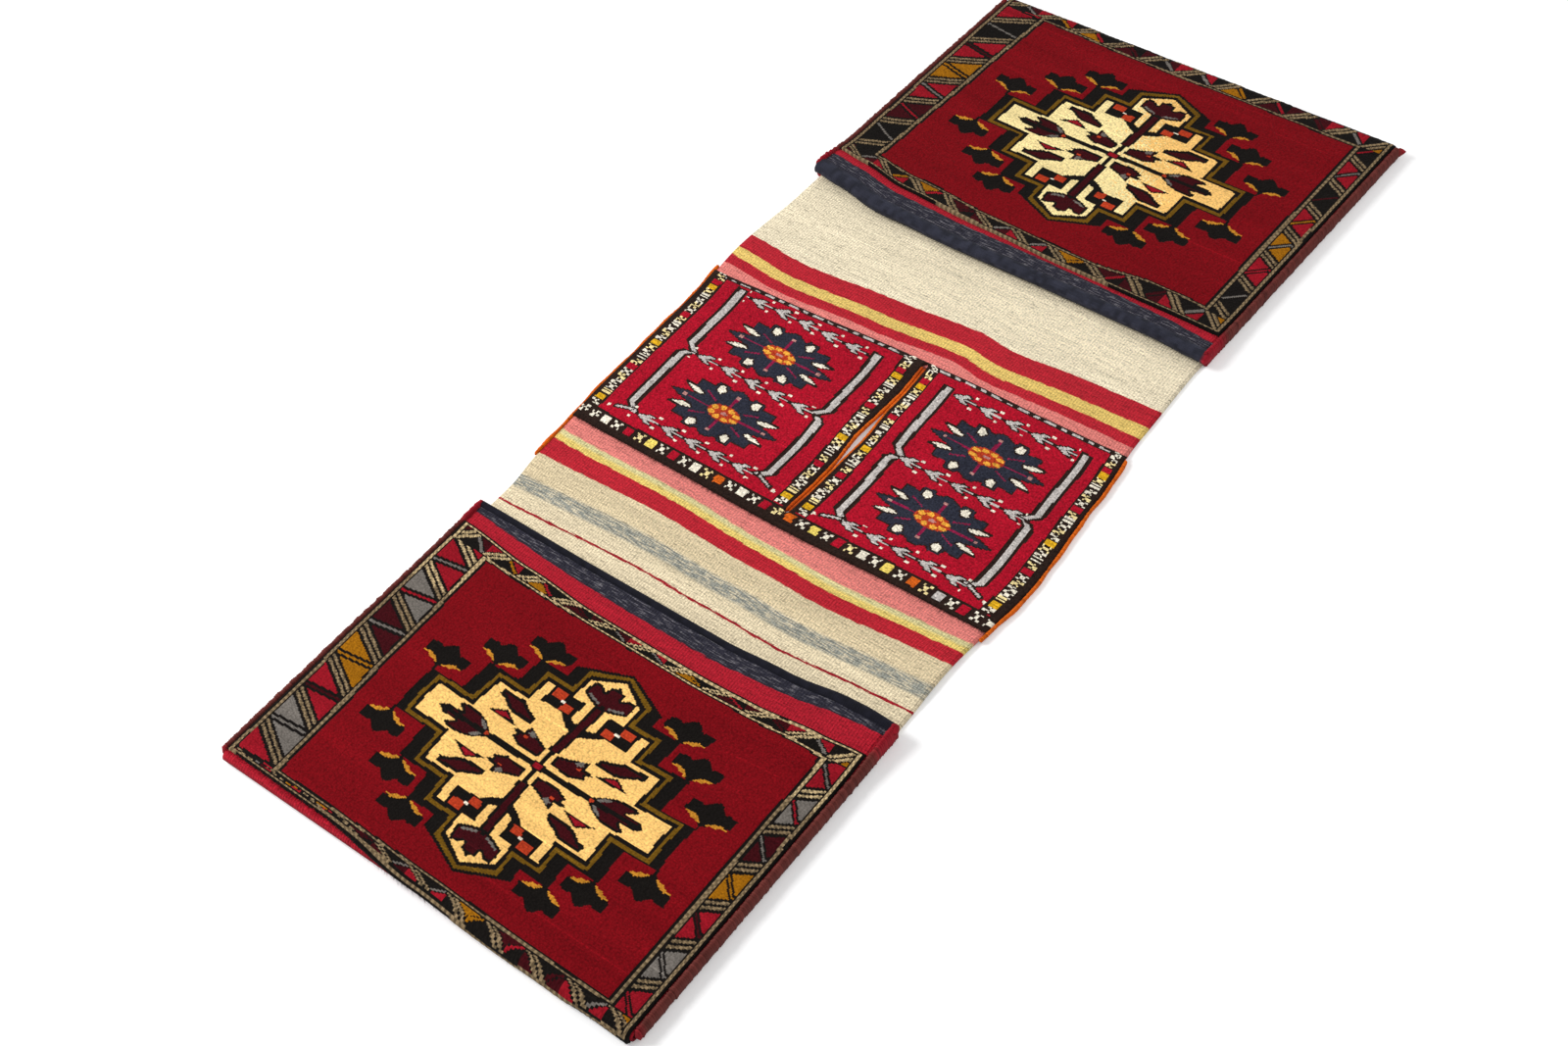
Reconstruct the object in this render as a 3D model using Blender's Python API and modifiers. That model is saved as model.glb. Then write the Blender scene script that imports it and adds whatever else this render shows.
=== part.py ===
"""A double saddle bag, woven as one strip of wool and folded up at both ends into two pouches.

The strip is drawn flat, as it comes off the loom: x runs across it, y along it and z is up on
the side that shows on the bridge. Its pile, slit and pattern are cut in that flat strip, and
fold() then lays every point of it into the finished bag. The pattern is relief: each dyed wool
is a field of its own, and the brown and black wools lie lowest, as their iron dye wears them
away. Lengths are in metres, +Z is up.
"""

import math

import bmesh
import bpy
import numpy as np
from mathutils import Matrix, Vector

MM = 0.001

# The cloth
HALF_CLOTH = 250.0 * MM
CLOTH = 3.0 * MM
PILE = 4.5 * MM
BLOCK_PILE = 3.8 * MM
PILE_ROOT = 1.0 * MM
PILE_INSET = 4.0 * MM

# The folded bag
HALF_LENGTH = 659.0 * MM
POUCH_GAP = 6.5 * MM
HEM_GAP = 0.6 * MM
HEM_LENGTH = 12.0 * MM
MOUTH_RISE = 2.0 * MM
NAVY_EDGE = 12.0 * MM
NEAR_PLAIN_EDGE = (28.0 * MM, 41.5 * MM, 42.0 * MM)
FAR_PLAIN_EDGE = (38.0 * MM, 35.0 * MM, 35.0 * MM)
PILE_END_ANGLE = math.radians(75)
NEAR_MOUTH = (-286.0 * MM, -288.0 * MM, -279.0 * MM)
FAR_MOUTH = (288.0 * MM, 270.0 * MM, 265.0 * MM)

# The bridge between the pouches
BLOCK_START = -141.0 * MM
BLOCK_END = 113.0 * MM
SLIT_START = -124.0 * MM
SLIT_END = 110.0 * MM
SLIT_X_START = 7.5 * MM
SLIT_X_END = 18.5 * MM
SLIT_LEAST = 1.0 * MM
SLIT_MOST = 6.6 * MM
SLIT_MOST_AT = -5.0 * MM
SLIT_TACK = 1.5 * MM
LEFT_BINDING = (-205.0 * MM, 115.0 * MM)
RIGHT_BINDING = (-150.0 * MM, 115.0 * MM)

# The overcast edges
SEAM_WIDTH = 5.0 * MM
SEAM_HEIGHT = 13.6 * MM
BINDING_WIDTH = 3.2 * MM
BINDING_HEIGHT = 5.4 * MM
SLIT_BINDING_WIDTH = 2.8 * MM
GAP = 0.3 * MM

# The pattern: how deep each wool lies below the pile's tips, or below the flat weave's face
BLACK_WEAR = 0.9 * MM
FIGURE_WEAR = 0.75 * MM
NAVY_WEAR = 0.5 * MM
LIGHT_WEAR = 0.3 * MM
CELL_WEAR = 0.2 * MM
TAUPE_WEAR = 0.1 * MM
KNOT_RATIO = 0.68

# How the bridge wanders as it lies: along it, its middle and how much wider it is there.
# Past its ends each pouch lies straight, at the slope that its last value gives.
WANDER = (
    (-255.0 * MM, 3.9 * MM, 1.0 * MM),
    (-200.0 * MM, 0.9 * MM, 3.5 * MM),
    (-70.0 * MM, 3.9 * MM, 11.0 * MM),
    (50.0 * MM, -1.1 * MM, 9.0 * MM),
    (150.0 * MM, -9.1 * MM, 8.5 * MM),
    (255.0 * MM, -7.1 * MM, 4.5 * MM),
)
BRIDGE_ROWS = 14
COLUMNS = 4
FLAT_ANGLE = math.radians(0.05)
NEAR_SLOPE = 0.0
FAR_SLOPE = 0.032

# The medallion on each face, in millimetres from its middle. Its four quarters are alike, so an
# outline is given for one quarter, from the right arm round to the upper arm.
MEDALLION = ((141, 16.5), (97.5, 51), (61.5, 77), (30, 100))
MEDALLION_TIP = 116
BAND = ((159.5, 26), (121, 62.5), (85, 92), (52, 106))
BAND_TIP = 127
BAND_LINE = 4
PLANT = (
    (124, 0), (116, 5), (100, 6), (108, 10), (104, 14.5), (85, 14), (64, 4), (64, 3), (6, 3),
    (6, 44), (13, 48), (27, 57.5), (16, 57.5), (6, 54), (6, 80), (14, 82), (26, 87), (24, 103),
    (11, 98.5), (8, 105), (0, 108.5),
)
FEATHER = ((88, 41), (87, 48), (61, 48), (40, 38), (39, 31), (61, 31), (80, 39))
LEAF = ((36, 30), (20, 23), (8, 19), (8, 8), (31, 7), (45, 13), (48, 19))
ARROW = ((67, 30.5), (85, 21.5), (48, 21.5))
CHEQUER = ((14.5, 56), (52, 56), (52, 74.5), (14.5, 74.5))
CHEQUER_SQUARES = (((35, 66), (48, 66), (48, 73), (35, 73)), ((20, 58), (32, 58), (32, 64.5), (20, 64.5)))
SPRAYS = ((83, 104), (117, 76), (160, 43))
SPRAY = ((25, -3), (25, 8), (13, 7.5), (0, 15.5), (-13, 7.5), (-25, 8), (-25, -3), (0, -15))

# A face's field and border, in millimetres: x across, and up the face from the fold. Field ends
# are given at the cloth's left edge, middle and right edge.
NEAR_FACE = {
    "side": -1,
    "mouth": NEAR_MOUTH,
    "plain_edge": NEAR_PLAIN_EDGE,
    "field_x": (-193.5, 213.8),
    "field_low": (10.5, 11.0, 9.5),
    "field_high": (302.5, 299.4, 294.5),
    "middle": (8.7, 151.6),
    "lean": 0.0,
    "bow": 0.073,
    "first_cell": 316.5,
    "cells": ("red", "grey", "wine", "mustard", "red", "grey", "red", "mustard"),
}
FAR_FACE = {
    "side": 1,
    "mouth": FAR_MOUTH,
    "plain_edge": FAR_PLAIN_EDGE,
    "field_x": (-208.3, 212.8),
    "field_low": (14.0, 19.0, 21.5),
    "field_high": (319.0, 313.5, 317.0),
    "middle": (7.5, 171.2),
    "lean": -0.025,
    "bow": 0.02,
    "first_cell": 320.0,
    "cells": ("wine", "red", "mustard", "red", "wine", "red", "wine", "red"),
}
FIELD_LINE = 3.5
INNER_LINE = 8.0
OUTER_LINE = 5.0
CELL_MARGIN = 2.5
CELL_PITCH = 45.0
CELL_SLOPE = 0.55
END_PITCH = 47.0
END_COUNT = 10
END_START = -15.0
END_CELL_LEAST = 3.0
EDGE_CLEARANCE = 1.0
BORDER_SPREAD = 8.0
PAST_FOLD = 0.4
WALL_MARGIN = 1.2

# One cell of the side border: its bar and two triangles, each point's distance in from the outer
# side as a share of the border's width, and its distance down. The end border's bar is given as
# the distance across and the share of the border's height.
CELL_BAR = ((0, 0), (1, 0), (1, 9), (0, 9))
CELL_TRIANGLES = (((0, 11.5), (0, 37), (0.95, 11.5)), ((1, 18), (1, 43), (0.07, 43)))
END_BAR = ((-3, 0), (11, 0), (32, 1), (18, 1))

# The two blocks on the bridge, in millimetres on the flat strip
STAR = (
    (65, 0), (36, 8), (58, 15.5), (46, 17), (46, 26), (30, 25), (28, 32.5), (15, 29), (0, 34),
)
STAR_TIPS = (((16, 26), (21, 31), (26, 23), (20, 20)), ((34, 11), (45, 14.5), (54, 14), (37, 8.5)))
STAR_HEART = ((18, 0), (12, 8), (0, 10))
STAR_ROWS = (40.5, -57.0)
DART = ((-11, 0), (4, 6.5), (1, 0), (4, -6.5))
DART_ROWS = (91.5, -6.7, -105.5)
DART_PITCH = 30.0
BAR_ENDS = ((-2.7, 96.3), (-105.7, -8.7))
BAR_WIDTH = 8.0
BLOCKS = (
    {"middle": -120.6, "lean": 0.0155, "bar": 87.0, "guard": 113.5},
    {"middle": 132.3, "lean": 0.03, "bar": 80.5, "guard": 103.8},
)
BLOCK_LEAN_FROM = -8.0
GUARD_WIDTH = 15.0
GUARD_SQUARE = 8.0
GUARD_PITCH = 20.5
END_GUARD_PITCH = 30.75
GUARD_ROW = -129.7
GUARD_ENDS = (-116.0, 96.0)
FAR_GUARD = 6.0
GROUND_OVERRUN = 2.0
STRIPE_OVERRUN = 1.0
STAR_MARGIN = 1.0
GUARD_WOOLS = ("white", "red", "white", "mustard", "white", "orange")

# The stripes of the flat weave: wool, depth and its two edges, each at the left, middle and right
STRIPES = (
    ("red", 0.10, (-270, -262, -251.5), (-268.4, -260.4, -249.9)),
    ("slate", 0.10, (-246, -238.8, -230.3), (-231, -224.5, -217.2)),
    ("red", 0.10, (-200.5, -197.3, -187.7), (-176.2, -178.8, -170.2)),
    ("straw", 0.15, (-176.6, -179.2, -170.6), (-162.6, -165.6, -156.7)),
    ("rose", 0.20, (-163.0, -166.0, -157.1), (-138, -138, -136)),
    ("rose", 0.20, (106, 106, 107), (128, 128.6, 133.3)),
    ("red", 0.10, (127.6, 128.2, 132.9), (137.5, 140, 147)),
    ("straw", 0.15, (137.1, 139.6, 146.6), (151, 154, 164)),
    ("red", 0.10, (150.6, 153.6, 163.6), (172.5, 179, 189.5)),
)

# What follows from the sizes above
FOLD_RADIUS = (POUCH_GAP + CLOTH) / 2
HEM_RADIUS = (CLOTH + HEM_GAP) / 2
BACK_Z = CLOTH / 2
FACE_Z = BACK_Z + 2 * FOLD_RADIUS
FOLD_Y = HALF_LENGTH - FOLD_RADIUS - CLOTH / 2 - PILE
FOLD_ARC = math.pi * FOLD_RADIUS
HEM_ARC = math.pi * HEM_RADIUS
HEM_SETBACK = HEM_RADIUS + CLOTH / 2

# The dyed wools
WOOLS = {
    "beige": "C9B88E",
    "red": "9B1520",
    "crimson": "B5152B",
    "black": "1D1A17",
    "brown": "3A2B2B",
    "navy": "2D2F45",
    "taupe": "7C6A4E",
    "cream": "F6D092",
    "olive": "6B4D12",
    "mustard": "A06A12",
    "wine": "3F0A10",
    "orange": "B03A1E",
    "grey": "8F8C86",
    "white": "EFE6CF",
    "slate": "8F9894",
    "straw": "EBCB72",
    "rose": "E57F78",
}

BAG = bpy.data.collections.new("kilim_saddle_bag")
CUTTERS = bpy.data.collections.new("cutters")


def clear_scene():
    """Removes what is in the scene and adds the two collections."""
    for obj in list(bpy.data.objects):
        bpy.data.objects.remove(obj, do_unlink=True)
    bpy.context.scene.collection.children.link(BAG)
    bpy.context.scene.collection.children.link(CUTTERS)


def wool(name, hex_colour, roughness=0.9):
    """A dyed wool: a Principled surface of the colour that the hex value gives in sRGB."""
    parts = [int(hex_colour[i : i + 2], 16) / 255 for i in (0, 2, 4)]
    linear = [c / 12.92 if c <= 0.04045 else ((c + 0.055) / 1.055) ** 2.4 for c in parts]
    material = bpy.data.materials.new(name)
    material.use_nodes = True
    surface = material.node_tree.nodes["Principled BSDF"]
    surface.inputs["Base Color"].default_value = (*linear, 1.0)
    surface.inputs["Roughness"].default_value = roughness
    surface.inputs["Metallic"].default_value = 0.0
    material.diffuse_color = (*linear, 1.0)
    return material


def face_length(mouth):
    """How long one face is, from the end of its fold to the start of its hem."""
    return FOLD_Y - abs(mouth[1]) - HEM_SETBACK


def even_steps(start, end, count):
    """Places from start to end with 'count' equal steps between."""
    return [start + (end - start) * i / count for i in range(count + 1)]


def smooth(t):
    """0 below 0, 1 above 1 and an easy curve between."""
    t = np.clip(t, 0.0, 1.0)
    return t * t * (3 - 2 * t)


def bridge_rows(start=WANDER[0][0], end=WANDER[-1][0]):
    """The cross lines of the bridge between two places, those two among them."""
    lines = even_steps(WANDER[0][0], WANDER[-1][0], BRIDGE_ROWS)
    return [start] + [y for y in lines if start + MM < y < end - MM] + [end]


def eased(y, column):
    """A column of WANDER at y, with an easy curve between its rows."""
    rows = np.array(WANDER)
    after = np.clip(np.searchsorted(rows[:, 0], y), 1, len(rows) - 1)
    low, high = rows[after - 1], rows[after]
    t = smooth((y - low[:, 0]) / (high[:, 0] - low[:, 0]))
    return low[:, column] + (high[:, column] - low[:, column]) * t


def wander(y):
    """The strip's middle and its extra half width at y: straight between two cross lines."""
    lines = np.array(bridge_rows())
    middle = np.interp(y, lines, eased(lines, 1))
    wider = np.interp(y, lines, eased(lines, 2))
    middle = middle + NEAR_SLOPE * np.minimum(y - lines[0], 0)
    return middle + FAR_SLOPE * np.maximum(y - lines[-1], 0), wider


def line_across(x, places):
    """A parabola across the cloth, through its places at the left edge, middle and right edge.

    The places are distances, so their signs are left out.
    """
    left, middle, right = (abs(v) for v in places)
    across = x / HALF_CLOTH
    return middle + (right - left) / 2 * across + ((right + left) / 2 - middle) * across**2


def fold_end(x, along, up, mouth):
    """Distance from the bag's middle and height, for points of one end of the flat strip.

    The back lies flat, then half a turn folds the face over it, and half a turn under it at
    the mouth makes the hem. 'up' is height above the middle of the cloth, and it counts
    towards the inside of each turn.
    """
    length = face_length(mouth)
    start = line_across(x, mouth) + HEM_SETBACK
    turn = (along - FOLD_Y) / FOLD_RADIUS
    on_face = along - FOLD_Y - FOLD_ARC
    hem_turn = (on_face - length) / HEM_RADIUS
    under = on_face - length - HEM_ARC
    rise = MOUTH_RISE * on_face / length
    hem_z = FACE_Z + MOUTH_RISE - HEM_RADIUS
    regions = [turn <= 0, turn < math.pi, on_face <= length, under < 0]
    y = np.select(
        regions,
        [
            along,
            FOLD_Y + (FOLD_RADIUS - up) * np.sin(turn),
            FOLD_Y - on_face / length * (FOLD_Y - start),
            start - (HEM_RADIUS - up) * np.sin(hem_turn),
        ],
        start + under,
    )
    z = np.select(
        regions,
        [
            BACK_Z + up,
            BACK_Z + FOLD_RADIUS - (FOLD_RADIUS - up) * np.cos(turn),
            FACE_Z - up + rise,
            hem_z + (HEM_RADIUS - up) * np.cos(hem_turn),
        ],
        hem_z - HEM_RADIUS + up,
    )
    return y, z


def fold(points):
    """Lays flat points (across, along, up) of the strip into the finished bag."""
    x, along, up = np.asarray(points, float).T
    near_y, near_z = fold_end(x, -along, up, NEAR_MOUTH)
    far_y, far_z = fold_end(x, along, up, FAR_MOUTH)
    near = along < 0
    y = np.where(near, -near_y, far_y)
    middle, wider = wander(y)
    x = middle + x * (1 + wider / HALF_CLOTH)
    return np.column_stack([x, y, np.where(near, near_z, far_z)])


def rows_of_end(mouth):
    """The cross lines of one end of the strip, from the bridge out: close together on the turns."""
    length = face_length(mouth)
    face_start = FOLD_Y + FOLD_ARC
    hem_start = face_start + length
    under_start = hem_start + HEM_ARC
    rows = even_steps(WANDER[-1][0], FOLD_Y, 3)
    rows += even_steps(FOLD_Y, face_start, 6)[1:]
    rows += [hem_start - NAVY_EDGE, hem_start]
    rows += even_steps(hem_start, under_start, 4)[1:]
    return rows + [under_start + HEM_LENGTH]


def slab(name, across, along, low, high, bands):
    """A flat slab on a grid of cross lines, from height low to height high.

    A cross line is a number, its place along the strip, or a function that gives its place at x.
    Each band is a wool and the distance from the strip's middle at which it starts.
    """
    mesh = bpy.data.meshes.new(name)
    bm = bmesh.new()
    bmesh.ops.create_grid(bm, x_segments=len(across) - 1, y_segments=len(along) - 1, size=1.0)
    for vert in bm.verts:
        column = round((vert.co.x + 1) / 2 * (len(across) - 1))
        row = round((vert.co.y + 1) / 2 * (len(along) - 1))
        x, line = across[column], along[row]
        vert.co = (x, line(x) if callable(line) else line, low)
    for face in bm.faces:
        away = abs(face.calc_center_median().y)
        face.material_index = max(i for i, (_, start) in enumerate(bands) if away >= start)
    bm.to_mesh(mesh)
    bm.free()
    for material, _ in bands:
        mesh.materials.append(material)
    obj = bpy.data.objects.new(name, mesh)
    thick = obj.modifiers.new("Thickness", "SOLIDIFY")
    thick.thickness = high - low
    thick.offset = 1.0
    return obj


def helper(obj):
    """Marks an object as one that shapes others and isn't part of the bag."""
    obj.hide_render = True
    obj.display_type = "WIRE"
    CUTTERS.objects.link(obj)
    return obj


def combine(obj, other, operation):
    """Adds a Boolean step, which brings the other object's wool with it."""
    step = obj.modifiers.new(other.name, "BOOLEAN")
    step.operation = operation
    step.object = other
    step.solver = "EXACT"
    step.material_mode = "TRANSFER"


def mesh_of(obj, name):
    """The object's mesh with its modifiers applied and its doubled points made one."""
    graph = bpy.context.evaluated_depsgraph_get()
    mesh = bpy.data.meshes.new_from_object(obj.evaluated_get(graph))
    mesh.name = name
    bm = bmesh.new()
    bm.from_mesh(mesh)
    bmesh.ops.remove_doubles(bm, verts=bm.verts, dist=1e-6)
    bmesh.ops.recalc_face_normals(bm, faces=bm.faces)
    bm.to_mesh(mesh)
    bm.free()
    return mesh


def merge_flat_faces(mesh):
    """Joins the neighbouring faces of one wool that lie in one plane."""
    bm = bmesh.new()
    bm.from_mesh(mesh)
    bmesh.ops.dissolve_limit(
        bm, angle_limit=FLAT_ANGLE, verts=bm.verts, edges=bm.edges, delimit={"MATERIAL"}
    )
    bm.to_mesh(mesh)
    bm.free()


def outlines(name, rings, low, high, material):
    """A cutter from flat outlines: a 2D curve filled and extruded from height low to high."""
    curve = bpy.data.curves.new(name, "CURVE")
    curve.dimensions = "2D"
    curve.fill_mode = "BOTH"
    curve.extrude = (high - low) / 2
    for ring in rings:
        spline = curve.splines.new("POLY")
        spline.points.add(len(ring) - 1)
        spline.use_cyclic_u = True
        for point, (x, y) in zip(spline.points, ring):
            point.co = (x, y, 0.0, 1.0)
    shape = bpy.data.objects.new(name + "_curve", curve)
    CUTTERS.objects.link(shape)
    mesh = mesh_of(shape, name)
    bpy.data.objects.remove(shape)
    mesh.transform(Matrix.Translation((0, 0, (low + high) / 2)))
    mesh.materials.clear()
    mesh.materials.append(material)
    return helper(bpy.data.objects.new(name, mesh))


def around(quarter):
    """One ring from a quarter's outline, which runs from the right arm to the upper arm."""
    upper = list(quarter) + [(-x, y) for x, y in reversed(quarter) if x > 0]
    return upper + [(x, -y) for x, y in reversed(upper) if y > 0]


def quarters(rings):
    """The rings repeated in the four quarters."""
    signs = [(sx, sy) for sx in (1, -1) for sy in (1, -1)]
    return [[(sx * x, sy * y) for x, y in ring] for ring in rings for sx, sy in signs]


def stepped(steps, tip, grow=0.0):
    """The ring of a stepped medallion with pointed arms, grown by a width on every side."""
    quarter = []
    for index, (wide, high) in enumerate(steps):
        quarter.append((wide + grow, high + grow))
        if index + 1 < len(steps):
            quarter.append((steps[index + 1][0] + grow, high + grow))
    return around(quarter + [(0.0, tip + grow)])


def moved(ring, x, y):
    """An outline shifted by x and y."""
    return [(x + px, y + py) for px, py in ring]


def box(x, y, wide, high):
    """A rectangle's ring about its middle."""
    return [(x + sx * wide / 2, y + sy * high / 2) for sx, sy in ((1, 1), (-1, 1), (-1, -1), (1, -1))]


def grown(ring, width=WALL_MARGIN):
    """An outline moved outwards from its middle, so that its wall falls in the dark wool."""
    ring = np.array(ring, float)
    arm = ring - ring.mean(axis=0)
    return (ring + arm / np.linalg.norm(arm, axis=1, keepdims=True) * width).tolist()


def dye(obj, name, rings, tip, depth, material, keep=()):
    """Cuts a field of dyed wool into an object whose surface there is at height tip.

    The rings are in millimetres on the flat strip, and a negative tip faces down. Inside the
    rings of 'keep' the wool stays as it was.
    """
    inward = 1 if tip < 0 else -1
    low, high = sorted((tip - inward * MM, tip + inward * depth))

    def scaled(rings):
        return [[(x * MM, y * MM) for x, y in ring] for ring in rings]

    field = outlines(name, scaled(rings), low, high, material)
    if keep:
        islands = outlines(f"{name}_kept", scaled(keep), low - MM, high + MM, material)
        combine(field, islands, "DIFFERENCE")
    combine(obj, field, "DIFFERENCE")


def field_ring(face, grow):
    """The field's outline moved outwards, by whole knots: they are wider than they are high."""
    left, right = face["field_x"][0] - grow, face["field_x"][1] + grow
    rise = grow * KNOT_RATIO
    low = [(x, end_line(x, face["field_low"]) - rise) for x in np.linspace(left, right, 3)]
    return low + [(x, end_line(x, face["field_high"]) + rise) for x in np.linspace(right, left, 5)]


def end_line(x, places):
    """The height of a line across the cloth at x, all in millimetres."""
    return float(line_across(np.array(x * MM), places))


def pile_top(face, x):
    """How far up the face the pile reaches, in millimetres."""
    length = face_length(face["mouth"])
    return (length - float(line_across(np.array(x * MM), face["plain_edge"]))) / MM


def outer_ring(face, inset, past_fold=0.0):
    """The pile's outline moved inwards, and cut off at the fold or a little past it."""
    half = (HALF_CLOTH - PILE_INSET) / MM - inset
    top = [(x, pile_top(face, x) - inset * KNOT_RATIO) for x in np.linspace(half, -half, 5)]
    return [(-half, -past_fold), (half, -past_fold)] + top


def side_cells(face, side):
    """The bars and the pairs of triangles along one side of a face."""
    outer = (HALF_CLOTH - PILE_INSET) / MM - OUTER_LINE - CELL_MARGIN
    wide = outer - abs(face["field_x"][0 if side < 0 else 1]) - INNER_LINE - CELL_MARGIN
    bars, triangles = [], []
    for index, wool_name in enumerate(face["cells"]):
        top = face["first_cell"] - CELL_PITCH * index

        def spot(inward, down):
            return side * (outer - inward * wide), top - down - CELL_SLOPE * wide * inward

        bars.append([spot(*point) for point in CELL_BAR])
        triangles += [(wool_name, [spot(*point) for point in ring]) for ring in CELL_TRIANGLES]
    return bars, triangles


def end_bars(face):
    """The row of slanted bars between the field and the mouth."""
    bars = []
    for index in range(END_COUNT):
        start = (index - END_COUNT / 2) * END_PITCH + END_START

        def spot(x, share):
            x = start + x
            low = end_line(x, face["field_high"]) + (INNER_LINE + CELL_MARGIN) * KNOT_RATIO
            high = pile_top(face, x) - (OUTER_LINE + CELL_MARGIN) * KNOT_RATIO
            return x, low + (high - low) * share

        bars.append([spot(*point) for point in END_BAR])
    return bars


def fits(face, ring, beside_field=False):
    """Whether a border figure lies wholly in its room, clear of the fold, the edges and corners."""
    half = (HALF_CLOTH - PILE_INSET) / MM - OUTER_LINE - EDGE_CLEARANCE

    def room(x):
        if beside_field:
            return end_line(x, face["field_high"]) + INNER_LINE * KNOT_RATIO
        return pile_top(face, x) - OUTER_LINE * KNOT_RATIO

    tall = max(y for _, y in ring) - min(y for _, y in ring)
    inside = all(abs(x) < half and END_CELL_LEAST < y < room(x) for x, y in ring)
    return inside and tall > END_CELL_LEAST


def dye_face(pile, name, face, wools):
    """The pattern of one face, cut into its pile: shallow fields first, then the black wool."""
    tip = -CLOTH / 2 - PILE
    fold_end_at = (FOLD_Y + FOLD_ARC) / MM
    middle_x, middle_y = face["middle"]

    def flat(ring):
        return [(x, face["side"] * (fold_end_at + y)) for x, y in ring]

    def placed(rings):
        out = []
        for ring in rings:
            lean = [(x + face["lean"] * y + face["bow"] * abs(y), y) for x, y in ring]
            out.append(flat(moved(lean, middle_x, middle_y)))
        return out

    def cut(part, rings, depth, wool_name, keep=()):
        dye(pile, f"{name}_{part}", rings, tip, depth, wools[wool_name], keep)

    side_bars, side_triangles = zip(*(side_cells(face, side) for side in (-1, 1)))
    bars = [ring for ring in sum(side_bars, []) if fits(face, ring, True)]
    bars += [ring for ring in end_bars(face) if fits(face, ring)]
    triangles = [pair for pair in sum(side_triangles, []) if fits(face, pair[1], True)]

    spread = outer_ring(face, -BORDER_SPREAD, PAST_FOLD)
    border = [flat(spread), flat(field_ring(face, FIELD_LINE / 2))]
    cut("border", border, TAUPE_WEAR, "taupe")
    for wool_name in sorted({wool_name for wool_name, _ in triangles}):
        rings = [flat(grown(ring)) for which, ring in triangles if which == wool_name]
        cut(f"{wool_name}_cells", rings, CELL_WEAR, wool_name)
    line = [flat(field_ring(face, 0)), flat(field_ring(face, FIELD_LINE))]
    cut("field_line", line, BLACK_WEAR, "black")
    islands = [flat(ring) for ring in bars + [ring for _, ring in triangles]]
    ground = [flat(outer_ring(face, OUTER_LINE)), flat(field_ring(face, INNER_LINE))]
    cut("border_ground", ground, BLACK_WEAR, "black", islands)

    line = BAND_LINE
    cut("olive_line", placed([stepped(MEDALLION, MEDALLION_TIP, 2.5 * line)]), TAUPE_WEAR, "olive")
    cut("cream", placed([stepped(MEDALLION, MEDALLION_TIP, line / 2)]), CELL_WEAR, "cream")
    inner = [stepped(MEDALLION, MEDALLION_TIP), stepped(MEDALLION, MEDALLION_TIP, line)]
    cut("inner_band", placed(inner), BLACK_WEAR, "black")
    band = [stepped(MEDALLION, MEDALLION_TIP, 2 * line), stepped(BAND, BAND_TIP)]
    cut("band", placed(band), BLACK_WEAR, "black")

    squares = quarters(CHEQUER_SQUARES)
    cut("squares", placed([grown(ring) for ring in squares]), LIGHT_WEAR, "orange")
    cut("chequers", placed(quarters([CHEQUER])), FIGURE_WEAR, "black", placed(squares))
    cut("arrows", placed(quarters([ARROW])), LIGHT_WEAR, "red")
    cut("plant", placed([around(PLANT)] + quarters([FEATHER, LEAF])), FIGURE_WEAR, "wine")

    sprays = quarters([moved(SPRAY, x, y) for x, y in SPRAYS])
    cut("sprays", placed(sprays), FIGURE_WEAR, "black")


def dye_blocks(pile, wools):
    """The pattern of the two blocks: stars, darts and bars on crimson, in a dark guard border."""
    tip = CLOTH / 2 + BLOCK_PILE
    beyond = HALF_CLOTH / MM
    start, end = BLOCK_START / MM, BLOCK_END / MM
    stars, tips, hearts, grey, guards, fields = [], [], [], [], [], []
    for block in BLOCKS:

        def leaning(rings):
            return [
                [(block["middle"] + x + block["lean"] * (y - BLOCK_LEAN_FROM), y) for x, y in ring]
                for ring in rings
            ]

        for row in STAR_ROWS:
            stars += leaning([moved(around(STAR), 0, row)])
            tips += leaning([moved(ring, 0, row) for ring in quarters(STAR_TIPS)])
            hearts += leaning([moved(around(STAR_HEART), 0, row)])
        for row in DART_ROWS:
            grey += leaning([moved(DART, step * DART_PITCH, row) for step in (-2, -1, 0, 1, 2)])
        for side in (-1, 1):
            for low, high in BAR_ENDS:
                grey += leaning([box(side * block["bar"], (low + high) / 2, BAR_WIDTH, high - low)])
            for y in np.arange(*GUARD_ENDS, GUARD_PITCH):
                guards += leaning([box(side * block["guard"], y, GUARD_SQUARE, GUARD_SQUARE)])
        inner = 2 * block["guard"] - GUARD_WIDTH
        low, high = GUARD_ROW + GUARD_WIDTH / 2, end - FAR_GUARD
        fields += leaning([box(0, (low + high) / 2, inner, high - low)])
    for x in np.arange(-beyond + GUARD_PITCH, beyond - GUARD_PITCH / 2, END_GUARD_PITCH):
        guards.append(box(x, GUARD_ROW, GUARD_SQUARE, GUARD_SQUARE))

    def cut(part, rings, depth, wool_name, keep=()):
        dye(pile, f"block_{part}", rings, tip, depth, wools[wool_name], keep)

    for wool_name in sorted(set(GUARD_WOOLS)):
        chosen = [
            grown(ring)
            for index, ring in enumerate(guards)
            if GUARD_WOOLS[index % len(GUARD_WOOLS)] == wool_name
        ]
        cut(f"{wool_name}_guards", chosen, CELL_WEAR, wool_name)
    cut("tip_wool", [grown(ring, STAR_MARGIN) for ring in tips], CELL_WEAR, "white")
    cut("heart_wool", [grown(ring, STAR_MARGIN) for ring in hearts], LIGHT_WEAR, "orange")
    cut("grey", grey, LIGHT_WEAR, "grey")
    wide, high = 2 * (beyond + GROUND_OVERRUN), end - start + 2 * GROUND_OVERRUN
    ground = [box(0, (start + end) / 2, wide, high)]
    cut("ground", ground, BLACK_WEAR, "brown", fields + guards)
    cut("stars", stars, NAVY_WEAR, "navy", tips + hearts)


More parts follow.
